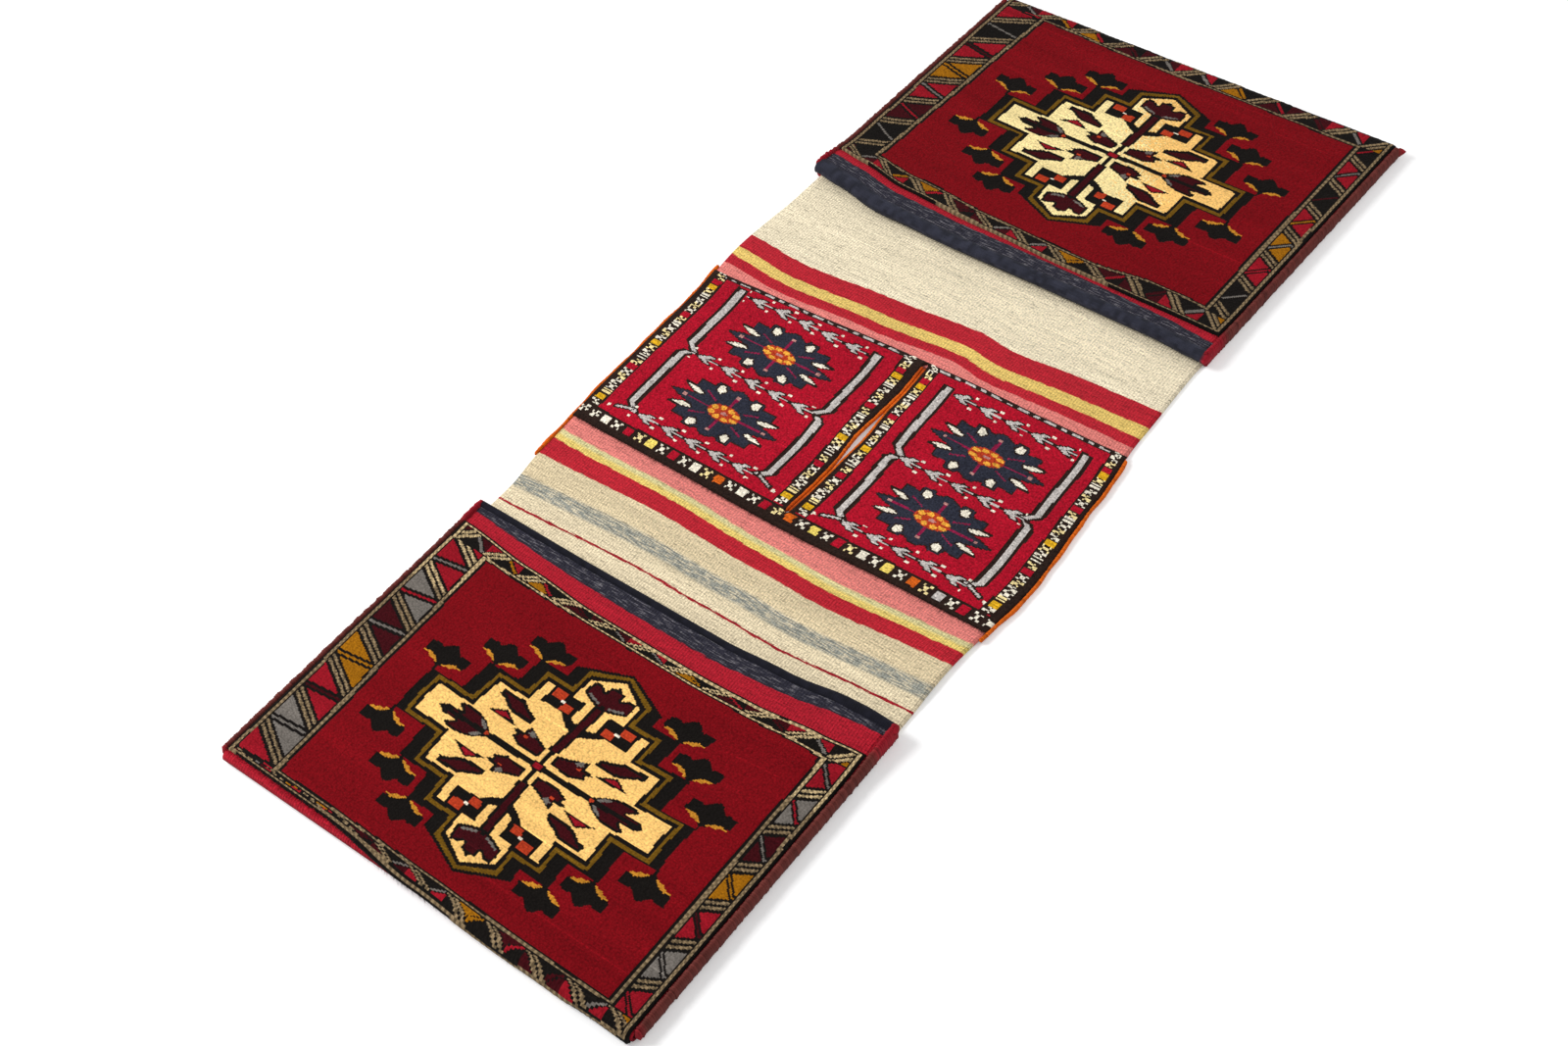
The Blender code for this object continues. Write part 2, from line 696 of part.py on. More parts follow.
def dye_stripes(cloth, wools):
    """The stripes of the flat weave on the bridge, each a shallow field from edge to edge."""
    beyond = HALF_CLOTH / MM + STRIPE_OVERRUN
    for index, (wool_name, depth, *edges) in enumerate(STRIPES):
        near, far = (
            [(x, math.copysign(end_line(x, places), places[1])) for x in np.linspace(-beyond, beyond, 4)]
            for places in edges
        )
        dye(cloth, f"stripe_{index}", [near + far[::-1]], CLOTH / 2, depth * MM, wools[wool_name])


def slit_middle(y):
    """The slit's place across the strip at y."""
    return SLIT_X_START + (SLIT_X_END - SLIT_X_START) * (y - SLIT_START) / (SLIT_END - SLIT_START)


def slit_open(y):
    """Half the open width between the slit's two bound edges."""
    far = SLIT_END - SLIT_MOST_AT if y > SLIT_MOST_AT else SLIT_MOST_AT - SLIT_START
    away = min(abs(y - SLIT_MOST_AT) / far, 1.0)
    bulge = 1 - away * away * (3 - 2 * away)
    return (SLIT_LEAST + (SLIT_MOST - SLIT_LEAST) * bulge) / 2


def slit_ring(width):
    """The slit's outline, this much wider on each side than its open width."""
    steps = bridge_rows(SLIT_START, SLIT_END)
    right = [(slit_middle(y) + slit_open(y) + width, y) for y in steps]
    left = [(slit_middle(y) - slit_open(y) - width, y) for y in reversed(steps)]
    return right + left


def pile_end(x, mouth, plain_edge):
    """Where a pouch's pile stops along the strip, short of its mouth by the plain edge."""
    return FOLD_Y + FOLD_ARC + face_length(mouth) - line_across(x, plain_edge)


def pile_slab(name, face, wools):
    """The pile of one pouch's face, from its end under the fold to the plain edge at the mouth."""
    side, mouth, plain_edge = face["side"], face["mouth"], face["plain_edge"]
    pile_x = HALF_CLOTH - PILE_INSET
    start = FOLD_Y + FOLD_RADIUS * PILE_END_ANGLE
    least = FOLD_Y + FOLD_ARC + face_length(mouth) - max(plain_edge) - MM
    rows = [side * row for row in [start] + [r for r in rows_of_end(mouth) if start < r < least]]
    rows.append(lambda x: side * float(pile_end(x, mouth, plain_edge)))
    if side < 0:
        rows.reverse()
    tip = -CLOTH / 2 - PILE
    root = -CLOTH / 2 + PILE_ROOT
    bands = ((wools["black"], 0.0), (wools["red"], FOLD_Y + FOLD_ARC))
    pile = helper(slab(name, even_steps(-pile_x, pile_x, COLUMNS), rows, tip, root, bands))
    dye_face(pile, name, face, wools)
    return pile


def make_strip():
    """The whole weaving: cloth, pile, slit, folded into the bag as one solid."""
    wools = {name: wool(f"{name}_wool", hex_colour) for name, hex_colour in WOOLS.items()}
    near_end, far_end = rows_of_end(NEAR_MOUTH), rows_of_end(FAR_MOUTH)
    along = [-row for row in reversed(near_end)] + bridge_rows()[1:-1] + far_end
    across = even_steps(-HALF_CLOTH, HALF_CLOTH, COLUMNS)
    navy_start = FOLD_Y + FOLD_ARC + min(map(face_length, (NEAR_MOUTH, FAR_MOUTH))) - NAVY_EDGE
    bands = ((wools["beige"], 0.0), (wools["crimson"], FOLD_Y), (wools["navy"], navy_start))
    cloth = helper(slab("cloth", across, along, -CLOTH / 2, CLOTH / 2, bands))
    dye_stripes(cloth, wools)

    near_pile = pile_slab("near_pile", NEAR_FACE, wools)
    far_pile = pile_slab("far_pile", FAR_FACE, wools)
    block_x = HALF_CLOTH - PILE_INSET
    across = even_steps(-block_x, block_x, 1)
    block_rows = bridge_rows(BLOCK_START, BLOCK_END)
    block_low = CLOTH / 2 - PILE_ROOT
    block_top = CLOTH / 2 + BLOCK_PILE
    bands = ((wools["crimson"], 0.0),)
    block_pile = helper(slab("block_pile", across, block_rows, block_low, block_top, bands))
    dye_blocks(block_pile, wools)

    wide = SLIT_BINDING_WIDTH + GAP
    low, high = -CLOTH, CLOTH + BLOCK_PILE
    slit = outlines("slit", [slit_ring(wide)], low, high, wools["brown"])
    for pile in (near_pile, far_pile, block_pile):
        combine(cloth, pile, "UNION")
    combine(cloth, slit, "DIFFERENCE")

    mesh = mesh_of(cloth, "woven_strip")
    flat = np.empty(len(mesh.vertices) * 3)
    mesh.vertices.foreach_get("co", flat)
    mesh.vertices.foreach_set("co", fold(flat.reshape(-1, 3)).ravel())
    merge_flat_faces(mesh)
    strip = bpy.data.objects.new("woven_strip", mesh)
    BAG.objects.link(strip)
    return strip


def section(name, width, height):
    """The rounded section of an overcast edge, as a closed 2D curve to carry along a path."""
    curve = bpy.data.curves.new(name, "CURVE")
    curve.dimensions = "2D"
    spline = curve.splines.new("POLY")
    corner = min(width, height) / 2
    points = []
    for quarter in range(4):
        centre_x = (width / 2 - corner) * (1 if quarter in (0, 3) else -1)
        centre_y = (height / 2 - corner) * (1 if quarter < 2 else -1)
        for step in range(3):
            angle = math.radians(90 * quarter + 45 * step)
            spot = (centre_x + corner * math.cos(angle), centre_y + corner * math.sin(angle))
            if not points or math.dist(points[-1], spot) > 1e-6:
                points.append(spot)
    if math.dist(points[0], points[-1]) < 1e-6:
        points.pop()
    spline.points.add(len(points) - 1)
    spline.use_cyclic_u = True
    for point, (x, y) in zip(spline.points, points):
        point.co = (x, y, 0.0, 1.0)
    return helper(bpy.data.objects.new(name, curve))


def overcast(name, path, profile, taper, material):
    """An edge bound with wraps of yarn: the profile carried along the path, thinner at its ends."""
    curve = bpy.data.curves.new(name, "CURVE")
    curve.dimensions = "3D"
    curve.twist_mode = "Z_UP"
    curve.bevel_mode = "OBJECT"
    curve.bevel_object = profile
    curve.use_fill_caps = True
    spline = curve.splines.new("POLY")
    spline.points.add(len(path) - 1)
    for index, (point, spot) in enumerate(zip(spline.points, path)):
        point.co = (*spot, 1.0)
        point.radius = taper if index in (0, len(path) - 1) else 1.0
    curve.materials.append(material)
    shape = bpy.data.objects.new(name + "_curve", curve)
    CUTTERS.objects.link(shape)
    mesh = mesh_of(shape, name)
    bpy.data.objects.remove(shape)
    mesh.shade_smooth()
    mesh.set_sharp_from_angle(angle=math.radians(50))
    obj = bpy.data.objects.new(name, mesh)
    BAG.objects.link(obj)
    return obj


def edge_path(side, places, width, height):
    """Points along one side of the bag, just clear of the cloth's edge."""
    path = []
    for y in places:
        middle, wider = wander(np.array(y))
        x = float(middle) + side * (HALF_CLOTH + float(wider) + GAP + width / 2)
        path.append((x, y, height / 2))
    return path


def make_seams():
    """The four seams that close the pouches' sides, from the fold up to the mouth."""
    maroon = wool("maroon_overcast_wool", "5F1F1E", 0.85)
    profile = section("seam_section", SEAM_WIDTH, SEAM_HEIGHT)
    for side, side_name in ((-1, "left"), (1, "right")):
        for sign, mouth, end_name in ((-1, NEAR_MOUTH, "near"), (1, FAR_MOUTH, "far")):
            edge = float(line_across(np.array(side * HALF_CLOTH), mouth))
            places = even_steps(sign * edge, sign * FOLD_Y, 4)
            steps = edge_path(side, places, SEAM_WIDTH, SEAM_HEIGHT)
            overcast(f"{end_name}_{side_name}_seam", steps, profile, 0.8, maroon)


def make_bindings():
    """The orange overcast edges of the bridge, and of the two sides of its slit."""
    orange = wool("orange_overcast_wool", "D9600F", 0.8)
    profile = section("binding_section", BINDING_WIDTH, BINDING_HEIGHT)
    for side, name, (start, end) in ((-1, "left", LEFT_BINDING), (1, "right", RIGHT_BINDING)):
        steps = edge_path(side, bridge_rows(start, end), BINDING_WIDTH, BINDING_HEIGHT)
        overcast(f"bridge_{name}_binding", steps, profile, 0.7, orange)

    profile = section("slit_section", SLIT_BINDING_WIDTH, BINDING_HEIGHT)
    for side, name in ((-1, "left"), (1, "right")):
        steps = []
        for y in bridge_rows(SLIT_START + SLIT_TACK, SLIT_END - SLIT_TACK):
            x = slit_middle(y) + side * (slit_open(y) + SLIT_BINDING_WIDTH / 2)
            steps.append(Vector(fold([(x, y, BINDING_HEIGHT / 2 - BACK_Z)])[0]))
        overcast(f"slit_{name}_binding", steps, profile, 0.7, orange)


clear_scene()
make_strip()
make_seams()
make_bindings()
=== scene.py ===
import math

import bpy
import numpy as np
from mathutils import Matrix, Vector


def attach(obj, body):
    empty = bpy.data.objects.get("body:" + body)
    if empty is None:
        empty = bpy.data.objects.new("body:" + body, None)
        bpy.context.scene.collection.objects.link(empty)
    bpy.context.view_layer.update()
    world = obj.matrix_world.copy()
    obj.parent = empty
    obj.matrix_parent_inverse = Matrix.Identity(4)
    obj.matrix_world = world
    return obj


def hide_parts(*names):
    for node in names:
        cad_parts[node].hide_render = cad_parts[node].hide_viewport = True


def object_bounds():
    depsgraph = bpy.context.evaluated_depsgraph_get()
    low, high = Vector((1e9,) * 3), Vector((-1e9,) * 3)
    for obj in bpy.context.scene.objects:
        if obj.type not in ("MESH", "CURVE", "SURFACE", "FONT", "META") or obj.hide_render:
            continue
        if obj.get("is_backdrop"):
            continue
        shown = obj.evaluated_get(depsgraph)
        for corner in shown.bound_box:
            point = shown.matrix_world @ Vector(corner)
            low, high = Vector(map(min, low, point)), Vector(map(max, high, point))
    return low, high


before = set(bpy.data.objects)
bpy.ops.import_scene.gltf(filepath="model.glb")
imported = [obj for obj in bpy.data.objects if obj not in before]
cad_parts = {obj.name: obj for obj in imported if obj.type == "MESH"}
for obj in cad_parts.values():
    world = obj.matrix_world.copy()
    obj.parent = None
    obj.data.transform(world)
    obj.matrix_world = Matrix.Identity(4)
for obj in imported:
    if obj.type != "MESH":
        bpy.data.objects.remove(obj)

# %% [markdown]
# # A kilim saddle bag
# The real bag is one long strip of wool. Its two ends are folded up and sewn at the sides, which
# makes two pouches, and the middle lies over the animal's back. Some of the strip is flat weave
# (kilim), and the pouch faces and two blocks are knotted pile, like a small carpet.
# This lesson dresses the plain solids of the bag with cloth, pile, seams and light.

MM = 0.001
CAD_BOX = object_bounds()


def smooth(t):
    """0 below 0, 1 above 1 and an easy curve, 3t^2 - 2t^3, between."""
    t = np.clip(t, 0.0, 1.0)
    return t * t * (3 - 2 * t)


def linear(hex_colour):
    """An sRGB hex colour as linear red, green and blue."""
    parts = np.array([int(hex_colour[i : i + 2], 16) for i in (0, 2, 4)]) / 255
    return np.where(parts <= 0.04045, parts / 12.92, ((parts + 0.055) / 1.055) ** 2.4)


print("The plain model measures", [round(float(high - low), 4) for low, high in zip(*CAD_BOX)])

# %% [markdown]
# ## Where a point of the strip lies
# It is easiest to design the bag flat, as it leaves the loom: x runs across the strip, s along it
# from the middle, and up is the height above the middle of the cloth. One function then folds a
# flat point into the finished bag. Everything below is drawn flat and passed through it, so the
# cloth, the pile and the yarn always meet. All of it works on whole arrays of millimetres.

# %% The strip, folded
HALF_CLOTH = 250.0
CLOTH = 3.0
PILE = 4.5
BLOCK_PILE = 3.8
FOLD_RADIUS = 4.75
HEM_RADIUS = 2.7
HEM_LENGTH = 12.0
FOLD_Y = 648.25
FOLD_ARC = math.pi * FOLD_RADIUS
HEM_ARC = math.pi * HEM_RADIUS
HEM_SETBACK = HEM_RADIUS + CLOTH / 2
FACE_LENGTH = {"near": 356.0, "far": 374.0}
RISE_LENGTH = 70.0

# Across the strip, from its left edge to its right: where the mouth's edge lies from the bag's
# middle, and how far the hem's roll stands up from the face.
MOUTH = {
    "near": ((-250, 286), (-100, 288), (60, 288), (130, 285.5), (200, 279.5), (250, 278.5)),
    "far": ((-250, 289), (-215, 284.5), (-150, 273), (-60, 271), (60, 272), (180, 271), (250, 267)),
}
RISE = {
    "near": ((-250, 1.5), (-100, 2.5), (60, 2.5), (150, 5.0), (225, 9.0), (250, 7.0)),
    "far": ((-250, 8.0), (-180, 5.5), (-60, 2.5), (120, 2.5), (250, 3.0)),
}

# How the strip wanders as it lies: place along it, its middle and how much wider it is there
WANDER = np.array(
    (
        (-255.0, 3.9, 1.0),
        (-200.0, 0.9, 3.5),
        (-70.0, 3.9, 11.0),
        (50.0, -1.1, 9.0),
        (150.0, -9.1, 8.5),
        (255.0, -7.1, 4.5),
    )
)
FAR_SLOPE = 0.032
# The bridge lifts off the ground in two slow waves between these places, with soft ends. Each wave
# has its height, its lengths across and along (mm in a radian) and where it starts.
RIPPLE_START, RIPPLE_END, RIPPLE_EASE = -262, 250, 50
RIPPLES = ((0.9, 62, 95, 0.0), (0.7, 31, -48, 1.3))
RIPPLE_LIFT = 0.9


def eased(table, at, column=1):
    """A column of a table at a place, with an easy curve between its rows."""
    table = np.asarray(table, float)
    after = np.clip(np.searchsorted(table[:, 0], at), 1, len(table) - 1)
    low, high = table[after - 1], table[after]
    t = smooth((at - low[..., 0]) / (high[..., 0] - low[..., 0]))
    return low[..., column] + (high[..., column] - low[..., column]) * t


def wander(y):
    """The strip's middle and its extra half width at y."""
    middle = eased(WANDER, y) + FAR_SLOPE * np.maximum(y - WANDER[-1, 0], 0)
    return middle, eased(WANDER, y, 2)


def fold_end(x, along, up, end):
    """Distance from the bag's middle and height, for one end of the strip.

    The back lies flat. Half a turn of FOLD_RADIUS lays the face over it, and half a turn of
    HEM_RADIUS tucks the hem under the face at the mouth.
    """
    length = FACE_LENGTH[end]
    start = eased(MOUTH[end], x) + HEM_SETBACK
    turn = (along - FOLD_Y) / FOLD_RADIUS
    on_face = along - FOLD_Y - FOLD_ARC
    hem_turn = (on_face - length) / HEM_RADIUS
    under = on_face - length - HEM_ARC
    top = eased(RISE[end], x)
    rise = top * smooth((on_face - length + RISE_LENGTH) / RISE_LENGTH)
    back_z = CLOTH / 2
    face_z = back_z + 2 * FOLD_RADIUS
    hem_z = face_z + top - HEM_RADIUS
    regions = [turn <= 0, turn < math.pi, on_face <= length, under < 0]
    y = np.select(
        regions,
        [
            along,
            FOLD_Y + (FOLD_RADIUS - up) * np.sin(turn),
            FOLD_Y - on_face / length * (FOLD_Y - start),
            start - (HEM_RADIUS - up) * np.sin(hem_turn),
        ],
        start + under,
    )
    z = np.select(
        regions,
        [
            back_z + up,
            back_z + FOLD_RADIUS - (FOLD_RADIUS - up) * np.cos(turn),
            face_z - up + rise,
            hem_z + (HEM_RADIUS - up) * np.cos(hem_turn),
        ],
        hem_z - HEM_RADIUS + up,
    )
    return y, z


def ripple(x, s):
    """How far the cloth lifts off the ground on the bridge: slow waves, none at the pouches."""
    on_bridge = smooth((s - RIPPLE_START) / RIPPLE_EASE) * smooth((RIPPLE_END - s) / RIPPLE_EASE)
    wave = sum(high * np.sin(x / wide + s / long + start) for high, wide, long, start in RIPPLES)
    return on_bridge * np.maximum(wave + RIPPLE_LIFT, 0)


def folded(x, s, up):
    """Points of the bag, in metres, from flat places x, s and heights up in millimetres."""
    x, s, up = np.broadcast_arrays(*(np.asarray(v, float) for v in (x, s, up)))
    near_y, near_z = fold_end(x, -s, up, "near")
    far_y, far_z = fold_end(x, s, up, "far")
    y = np.where(s < 0, -near_y, far_y)
    z = np.where(s < 0, near_z, far_z) + ripple(x, s)
    middle, wider = wander(y)
    return np.stack([middle + x * (1 + wider / HALF_CLOTH), y, z], axis=-1) * MM


print("The near mouth's middle lies at", np.round(folded(0, -1020, 0), 4))

# %% [markdown]
# ## Turning arrays into meshes
# A surface here is a grid of points, and its faces join each point to its neighbours. Blender
# takes the whole arrays at once with foreach_set, which is much faster than adding faces one by
# one. Colours go in a corner attribute, so that every knot can have its own yarn, and the flat
# place of each point goes in a UV map, in metres, which the weave patterns read.

# %% Mesh from arrays
COLLECTION = bpy.context.scene.collection


def mesh_object(name, points, faces, material, uv=None, colours=None, smooth_faces=True):
    """A mesh from points (n, 3) and faces, a list of arrays that each hold faces of one size."""
    mesh = bpy.data.meshes.new(name)
    sizes = np.concatenate([np.full(len(f), f.shape[1]) for f in faces])
    corners = np.concatenate([f.ravel() for f in faces])
    mesh.vertices.add(len(points))
    mesh.vertices.foreach_set("co", np.asarray(points, np.float32).ravel())
    mesh.loops.add(len(corners))
    mesh.loops.foreach_set("vertex_index", corners.astype(np.int32))
    mesh.polygons.add(len(sizes))
    starts = np.concatenate([[0], np.cumsum(sizes)[:-1]])
    mesh.polygons.foreach_set("loop_start", starts.astype(np.int32))
    mesh.update(calc_edges=True)
    if smooth_faces:
        mesh.shade_smooth()
    if uv is not None:
        layer = mesh.uv_layers.new(name="flat")
        layer.data.foreach_set("uv", np.asarray(uv, np.float32)[corners].ravel())
    if colours is not None:
        layer = mesh.color_attributes.new(name="yarn", type="FLOAT_COLOR", domain="CORNER")
        rgba = np.column_stack([colours, np.ones(len(colours))])
        layer.data.foreach_set("color", np.repeat(rgba, sizes, axis=0).astype(np.float32).ravel())
    mesh.materials.append(material)
    mesh.validate()
    obj = bpy.data.objects.new(name, mesh)
    COLLECTION.objects.link(obj)
    return obj


def grid_faces(rows, columns, wrap=False):
    """Quads of a grid of rows x columns points; wrap joins the last column to the first."""
    index = np.arange(rows * columns).reshape(rows, columns)
    if wrap:
        index = np.concatenate([index, index[:, :1]], axis=1)
    quads = [index[:-1, :-1], index[:-1, 1:], index[1:, 1:], index[1:, :-1]]
    return np.stack(quads, axis=-1).reshape(-1, 4)


def worn(obj, replaced, note=""):
    """Puts a piece on the bag in place of a plain solid, and prints how fine it is."""
    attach(obj, "root")
    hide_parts(replaced)
    print(obj.name, len(obj.data.polygons), "faces", note)
    return obj


# %% [markdown]
# ## The dyed wools
# Each yarn is a plain colour that the pattern names. Madder gives the reds and the wine brown,
# indigo the navy, and the black is brown wool over-dyed, which wears lower than the rest.

# %% Yarn colours
YARN = {
    "red": "770A13",
    "black": "14110F",
    "taupe": "7E6B50",
    "pale_taupe": "B59E76",
    "wine": "3A0A10",
    "mustard": "96600C",
    "gold": "BC7F28",
    "olive": "6B4D12",
    "cream": "F8C574",
    "pale_cream": "F6E0A0",
    "orange_red": "B23A1F",
    "grey": "6C6660",
    "bright_red": "8E1320",
    "crimson": "AC1027",
    "navy": "2B2D39",
    "white": "EFE6D2",
    "brown": "291C17",
    "light_grey": "C2BBB6",
    "orange": "D2601A",
    "amber": "E8A43C",
    "yellow": "D9A61F",
    "lemon": "EFD468",
    "magenta": "8A1A40",
    "pink": "B9827C",
}
YARNS = list(YARN)
YARN_RGB = np.array([linear(YARN[name]) for name in YARNS])


def yarn(name):
    """A wool's number in the list of wools."""
    return YARNS.index(name)


print("Yarn colours:", len(YARNS))


# %% [markdown]
# ## Drawing with knots
# A knotted carpet is a drawing on squared paper: each knot has one colour. So each figure is an
# outline in millimetres, and a knot takes the figure's colour where its middle lies inside. The
# edges then climb in small steps, as they do in the real pile. Most figures are the same in all
# four quarters of the medallion, so they are tested once, on the places' absolute values.

# %% Figures on squared paper
def depth_in(px, py, ring):
    """Signed distance from each point to a closed outline: negative inside, positive outside.

    For each side of the outline, the nearest point on it is found by projection, and a ray to
    the right counts the sides that it crosses.
    """
    ring = np.asarray(ring, float)
    best = np.full(px.shape, 1e9)
    inside = np.zeros(px.shape, bool)
    for (ax, ay), (bx, by) in zip(ring, np.roll(ring, -1, axis=0)):
        ex, ey = bx - ax, by - ay
        t = np.clip(((px - ax) * ex + (py - ay) * ey) / (ex * ex + ey * ey), 0, 1)
        best = np.minimum(best, np.hypot(px - ax - t * ex, py - ay - t * ey))
        if ey:
            crosses = (ay > py) != (by > py)
            inside ^= crosses & (px < ax + (py - ay) * ex / ey)
    return np.where(inside, -best, best)


def draw(ink, px, py, ring, *layers):
    """Colours the knots of one figure, from its outside in.

    Each layer is a wool and how far past the outline it reaches, in mm: less than 0 is inside.
    """
    ring = np.asarray(ring, float)
    reach = layers[0][1] + 1.0
    low, high = ring.min(0) - reach, ring.max(0) + reach
    close = bar(px, py, low[0], high[0], low[1], high[1])
    depth = np.full(px.shape, 1e9)
    depth[close] = depth_in(px[close], py[close], ring)
    for wool, past in layers:
        ink[depth < past] = yarn(wool)


def bar(px, py, x0, x1, y0, y1):
    """Where points lie in an upright rectangle."""
    return (px > x0) & (px < x1) & (py > y0) & (py < y1)


def paint(ink, px, py, parts):
    """Draws parts in order: each is an outline and its layers, or a bar's four sides and a wool."""
    for shape, *layers in parts:
        if np.ndim(shape) == 2:
            draw(ink, px, py, shape, *layers)
        else:
            ink[bar(px, py, *shape)] = yarn(layers[0])


SQUARE = ((-1, -1), (1, -1), (1, 1), (-1, 1))
deep = depth_in(np.zeros(1), np.zeros(1), SQUARE)[0]
print("The middle of a square of 2 mm lies", deep, "mm past its outline")

# %% [markdown]
# ## The medallion
# The pouch faces carry a stepped cream medallion with lotus flowers, tulips, leaves and small
# chequers, twelve lotus sprays around it, and a border of triangles between slanted bars. These
# are old shared motifs of village weaving. All sizes are millimetres from the medallion's middle.

# %% The medallion's outlines
MEDALLION = ((141, 16.5), (97.5, 51), (61.5, 77), (30, 100))
MEDALLION_TIP = 116
BAND = ((159.5, 26), (121, 62.5), (85, 92), (52, 106))
BAND_TIP = 127
SPRAYS = ((83, 104), (117, 76), (160, 43))
LOTUS = (
    (0, 79), (7, 80), (14, 82), (21, 85), (26, 87), (26, 95), (24, 103), (16, 102), (11, 98.5),
    (9, 98.5), (8.5, 104.5), (2, 106.5), (1.5, 108.5), (0, 108.5),
)
TULIP = (
    (62, 0), (62, 2.5), (65, 5), (75, 11), (83, 13.5), (90, 14.5), (103, 14.5), (107, 13),
    (108, 10), (103, 8.5), (101, 6.5), (99, 5.5), (116, 5), (121, 2), (124, 0),
)
FEATHER = ((88, 41), (87, 48), (61, 48), (55, 44), (40, 38), (39, 31), (61, 31), (69, 33), (81, 40))
ARROW = ((67, 31), (85, 21.5), (48, 21.5))
LEAF = (
    (36, 30), (20, 23), (7, 19), (7, 8), (31, 7), (45, 13), (41, 16), (48, 19), (44, 21), (36, 21),
)
BRANCH = ((4, 44), (4, 53), (16, 57.5), (27, 57.5), (20, 52), (12, 47))
BUD = (
    (-25, -4), (-25, 8), (-14, 9), (-12, 7), (-9, 9), (-4, 14), (0, 15.5), (4, 14), (9, 9),
    (12, 7), (14, 9), (25, 8), (25, -3), (18, -5), (8, -9), (0, -14), (-8, -9), (-18, -5),
)
SEPAL = ((24, -5), (16, -3), (9, -5.5), (2, -11), (6, -11), (8, -9), (13, -9), (16, -6.5))
LINE = ("black", 0)
MEDALLION_PARTS = (
    ((-1, 6, 20, 84), "black"),
    ((-1, 3.2, 20, 84), "wine"),
    ((4, 64, -1, 3.0), "black"),
    (BRANCH, LINE),
    (LOTUS, LINE, ("wine", -2.6)),
    ((-1, 5.5, 84, 104), "wine"),
    (((5, 83), (13, 84.5), (21, 88), (20, 90), (12, 87), (5, 85.5)), ("grey", 0)),
    (TULIP, LINE, ("wine", -2.4)),
    (((67, 3.5), (73, 8.5), (80, 10), (76, 6), (70, 2.5)), ("grey", 0)),
    ((14.5, 52, 57, 77), "black"),
    ((34.5, 48.5, 67.5, 76.5), "orange_red"),
    ((19.5, 31.5, 58, 66.7), "orange_red"),
    ((30.5, 35.5, 66, 68.2), "white"),
    (FEATHER, LINE, ("wine", -3.2)),
    (ARROW, LINE, ("bright_red", -2.0)),
    (LEAF, LINE, ("wine", -2.6)),
    (((33, 23), (31, 27.5), (24, 23), (28, 20)), ("grey", 0)),
    ((29, 34, 17, 19.5), "orange_red"),
    ((-1, 2.6, 3, 21), "black"),
    ((-1, 7.0, -1, 4.2), "black"),
    ((-1, 5.0, -1, 2.8), "bright_red"),
)
SPRAY_PARTS = ((BUD, LINE), ((-1.4, 1.4, -19, -10), "black"))
TULIP_ROOT, TULIP_BEAD = 64, 2.2


def stepped(ax, ay, steps, tip, grow):
    """Inside a figure of steps with a pointed roof, grown by a width on every side."""
    found = np.zeros(ax.shape, bool)
    for wide, high in steps:
        found |= (ax < wide + grow) & (ay < high + grow)
    wide, high = steps[-1][0] + grow, steps[-1][1] + grow
    roof = high + (tip + grow - high) * (1 - ax / wide)
    return found | ((ax < wide) & (ay < roof))


def draw_medallion(ink, dx, dy, ground):
    """The medallion and its sprays, on places measured from its middle."""
    ax, ay = np.abs(dx), np.abs(dy)
    ink[stepped(ax, ay, BAND, BAND_TIP, 0.0)] = yarn("black")
    for wool, grow in (("olive", 8.0), ("black", 4.0), (ground, 0.0)):
        ink[stepped(ax, ay, MEDALLION, MEDALLION_TIP, grow)] = yarn(wool)
    paint(ink, ax, ay, MEDALLION_PARTS)
    ink[np.hypot(ax - TULIP_ROOT, ay) < TULIP_BEAD] = yarn("orange_red")
    for spray_x, spray_y in SPRAYS:
        bx, by = ax - spray_x, ay - spray_y
        paint(ink, bx, by, SPRAY_PARTS)
        draw(ink, np.abs(bx), by, SEPAL, ("gold", 0))


print("The medallion has", len(MEDALLION_PARTS), "parts and", len(SPRAYS), "sprays in each quarter")

# %% [markdown]
# ## The borders
# A ring of taupe between black lines runs around the field, and another along the face's edge.
# Between them, at the sides, double bars slant towards the field, and a thin line splits the room
# between two bars into two triangles. Along the ends the bars rise and the thin lines fall, so
# that they make a zigzag. A remainder by the pitch repeats both.

# %% The two faces' measures
NEAR_CELLS = ("bright_red", "grey", "wine", "mustard", "bright_red", "grey", "bright_red", "mustard")
# Each face's field (left and right side, slant), the lines under and over it from left to right,
# the medallion's middle, lean and bow, its ground, and the side borders' wools and first cells
FACES = {
    "near": {
        "field": (-193.5, 213.8, 6.0),
        "low": ((-250, 13.0), (0, 11.5), (250, 9.5)),
        "high": ((-250, 302.5), (-60, 299.5), (100, 299.0), (250, 295.5)),
        "middle": (8.7, 151.6),
        "lean": 0.0,
        "bow": 0.073,
        "ground": "cream",
        "left": NEAR_CELLS,
        "right": NEAR_CELLS,
        "shift": (316.5, 316.5),
    },
    "far": {
        "field": (-203.0, 212.8, 15.0),
        "low": ((-250, 13.5), (0, 19.0), (250, 21.0)),
        "high": ((-250, 319), (-130, 316), (-45, 322), (80, 326), (160, 317), (250, 318)),
        "middle": (7.5, 171.2),
        "lean": -0.025,
        "bow": 0.02,
        "ground": "pale_cream",
        "left": (
            "black", "wine", "bright_red", "mustard", "bright_red", "black", "bright_red", "black",
        ),
        "right": (
            "black", "bright_red", "mustard", "bright_red", "black", "bright_red", "black",
            "bright_red",
        ),
        "shift": (318.0, 322.0),
    },
}
SLANT_LENGTH = 300
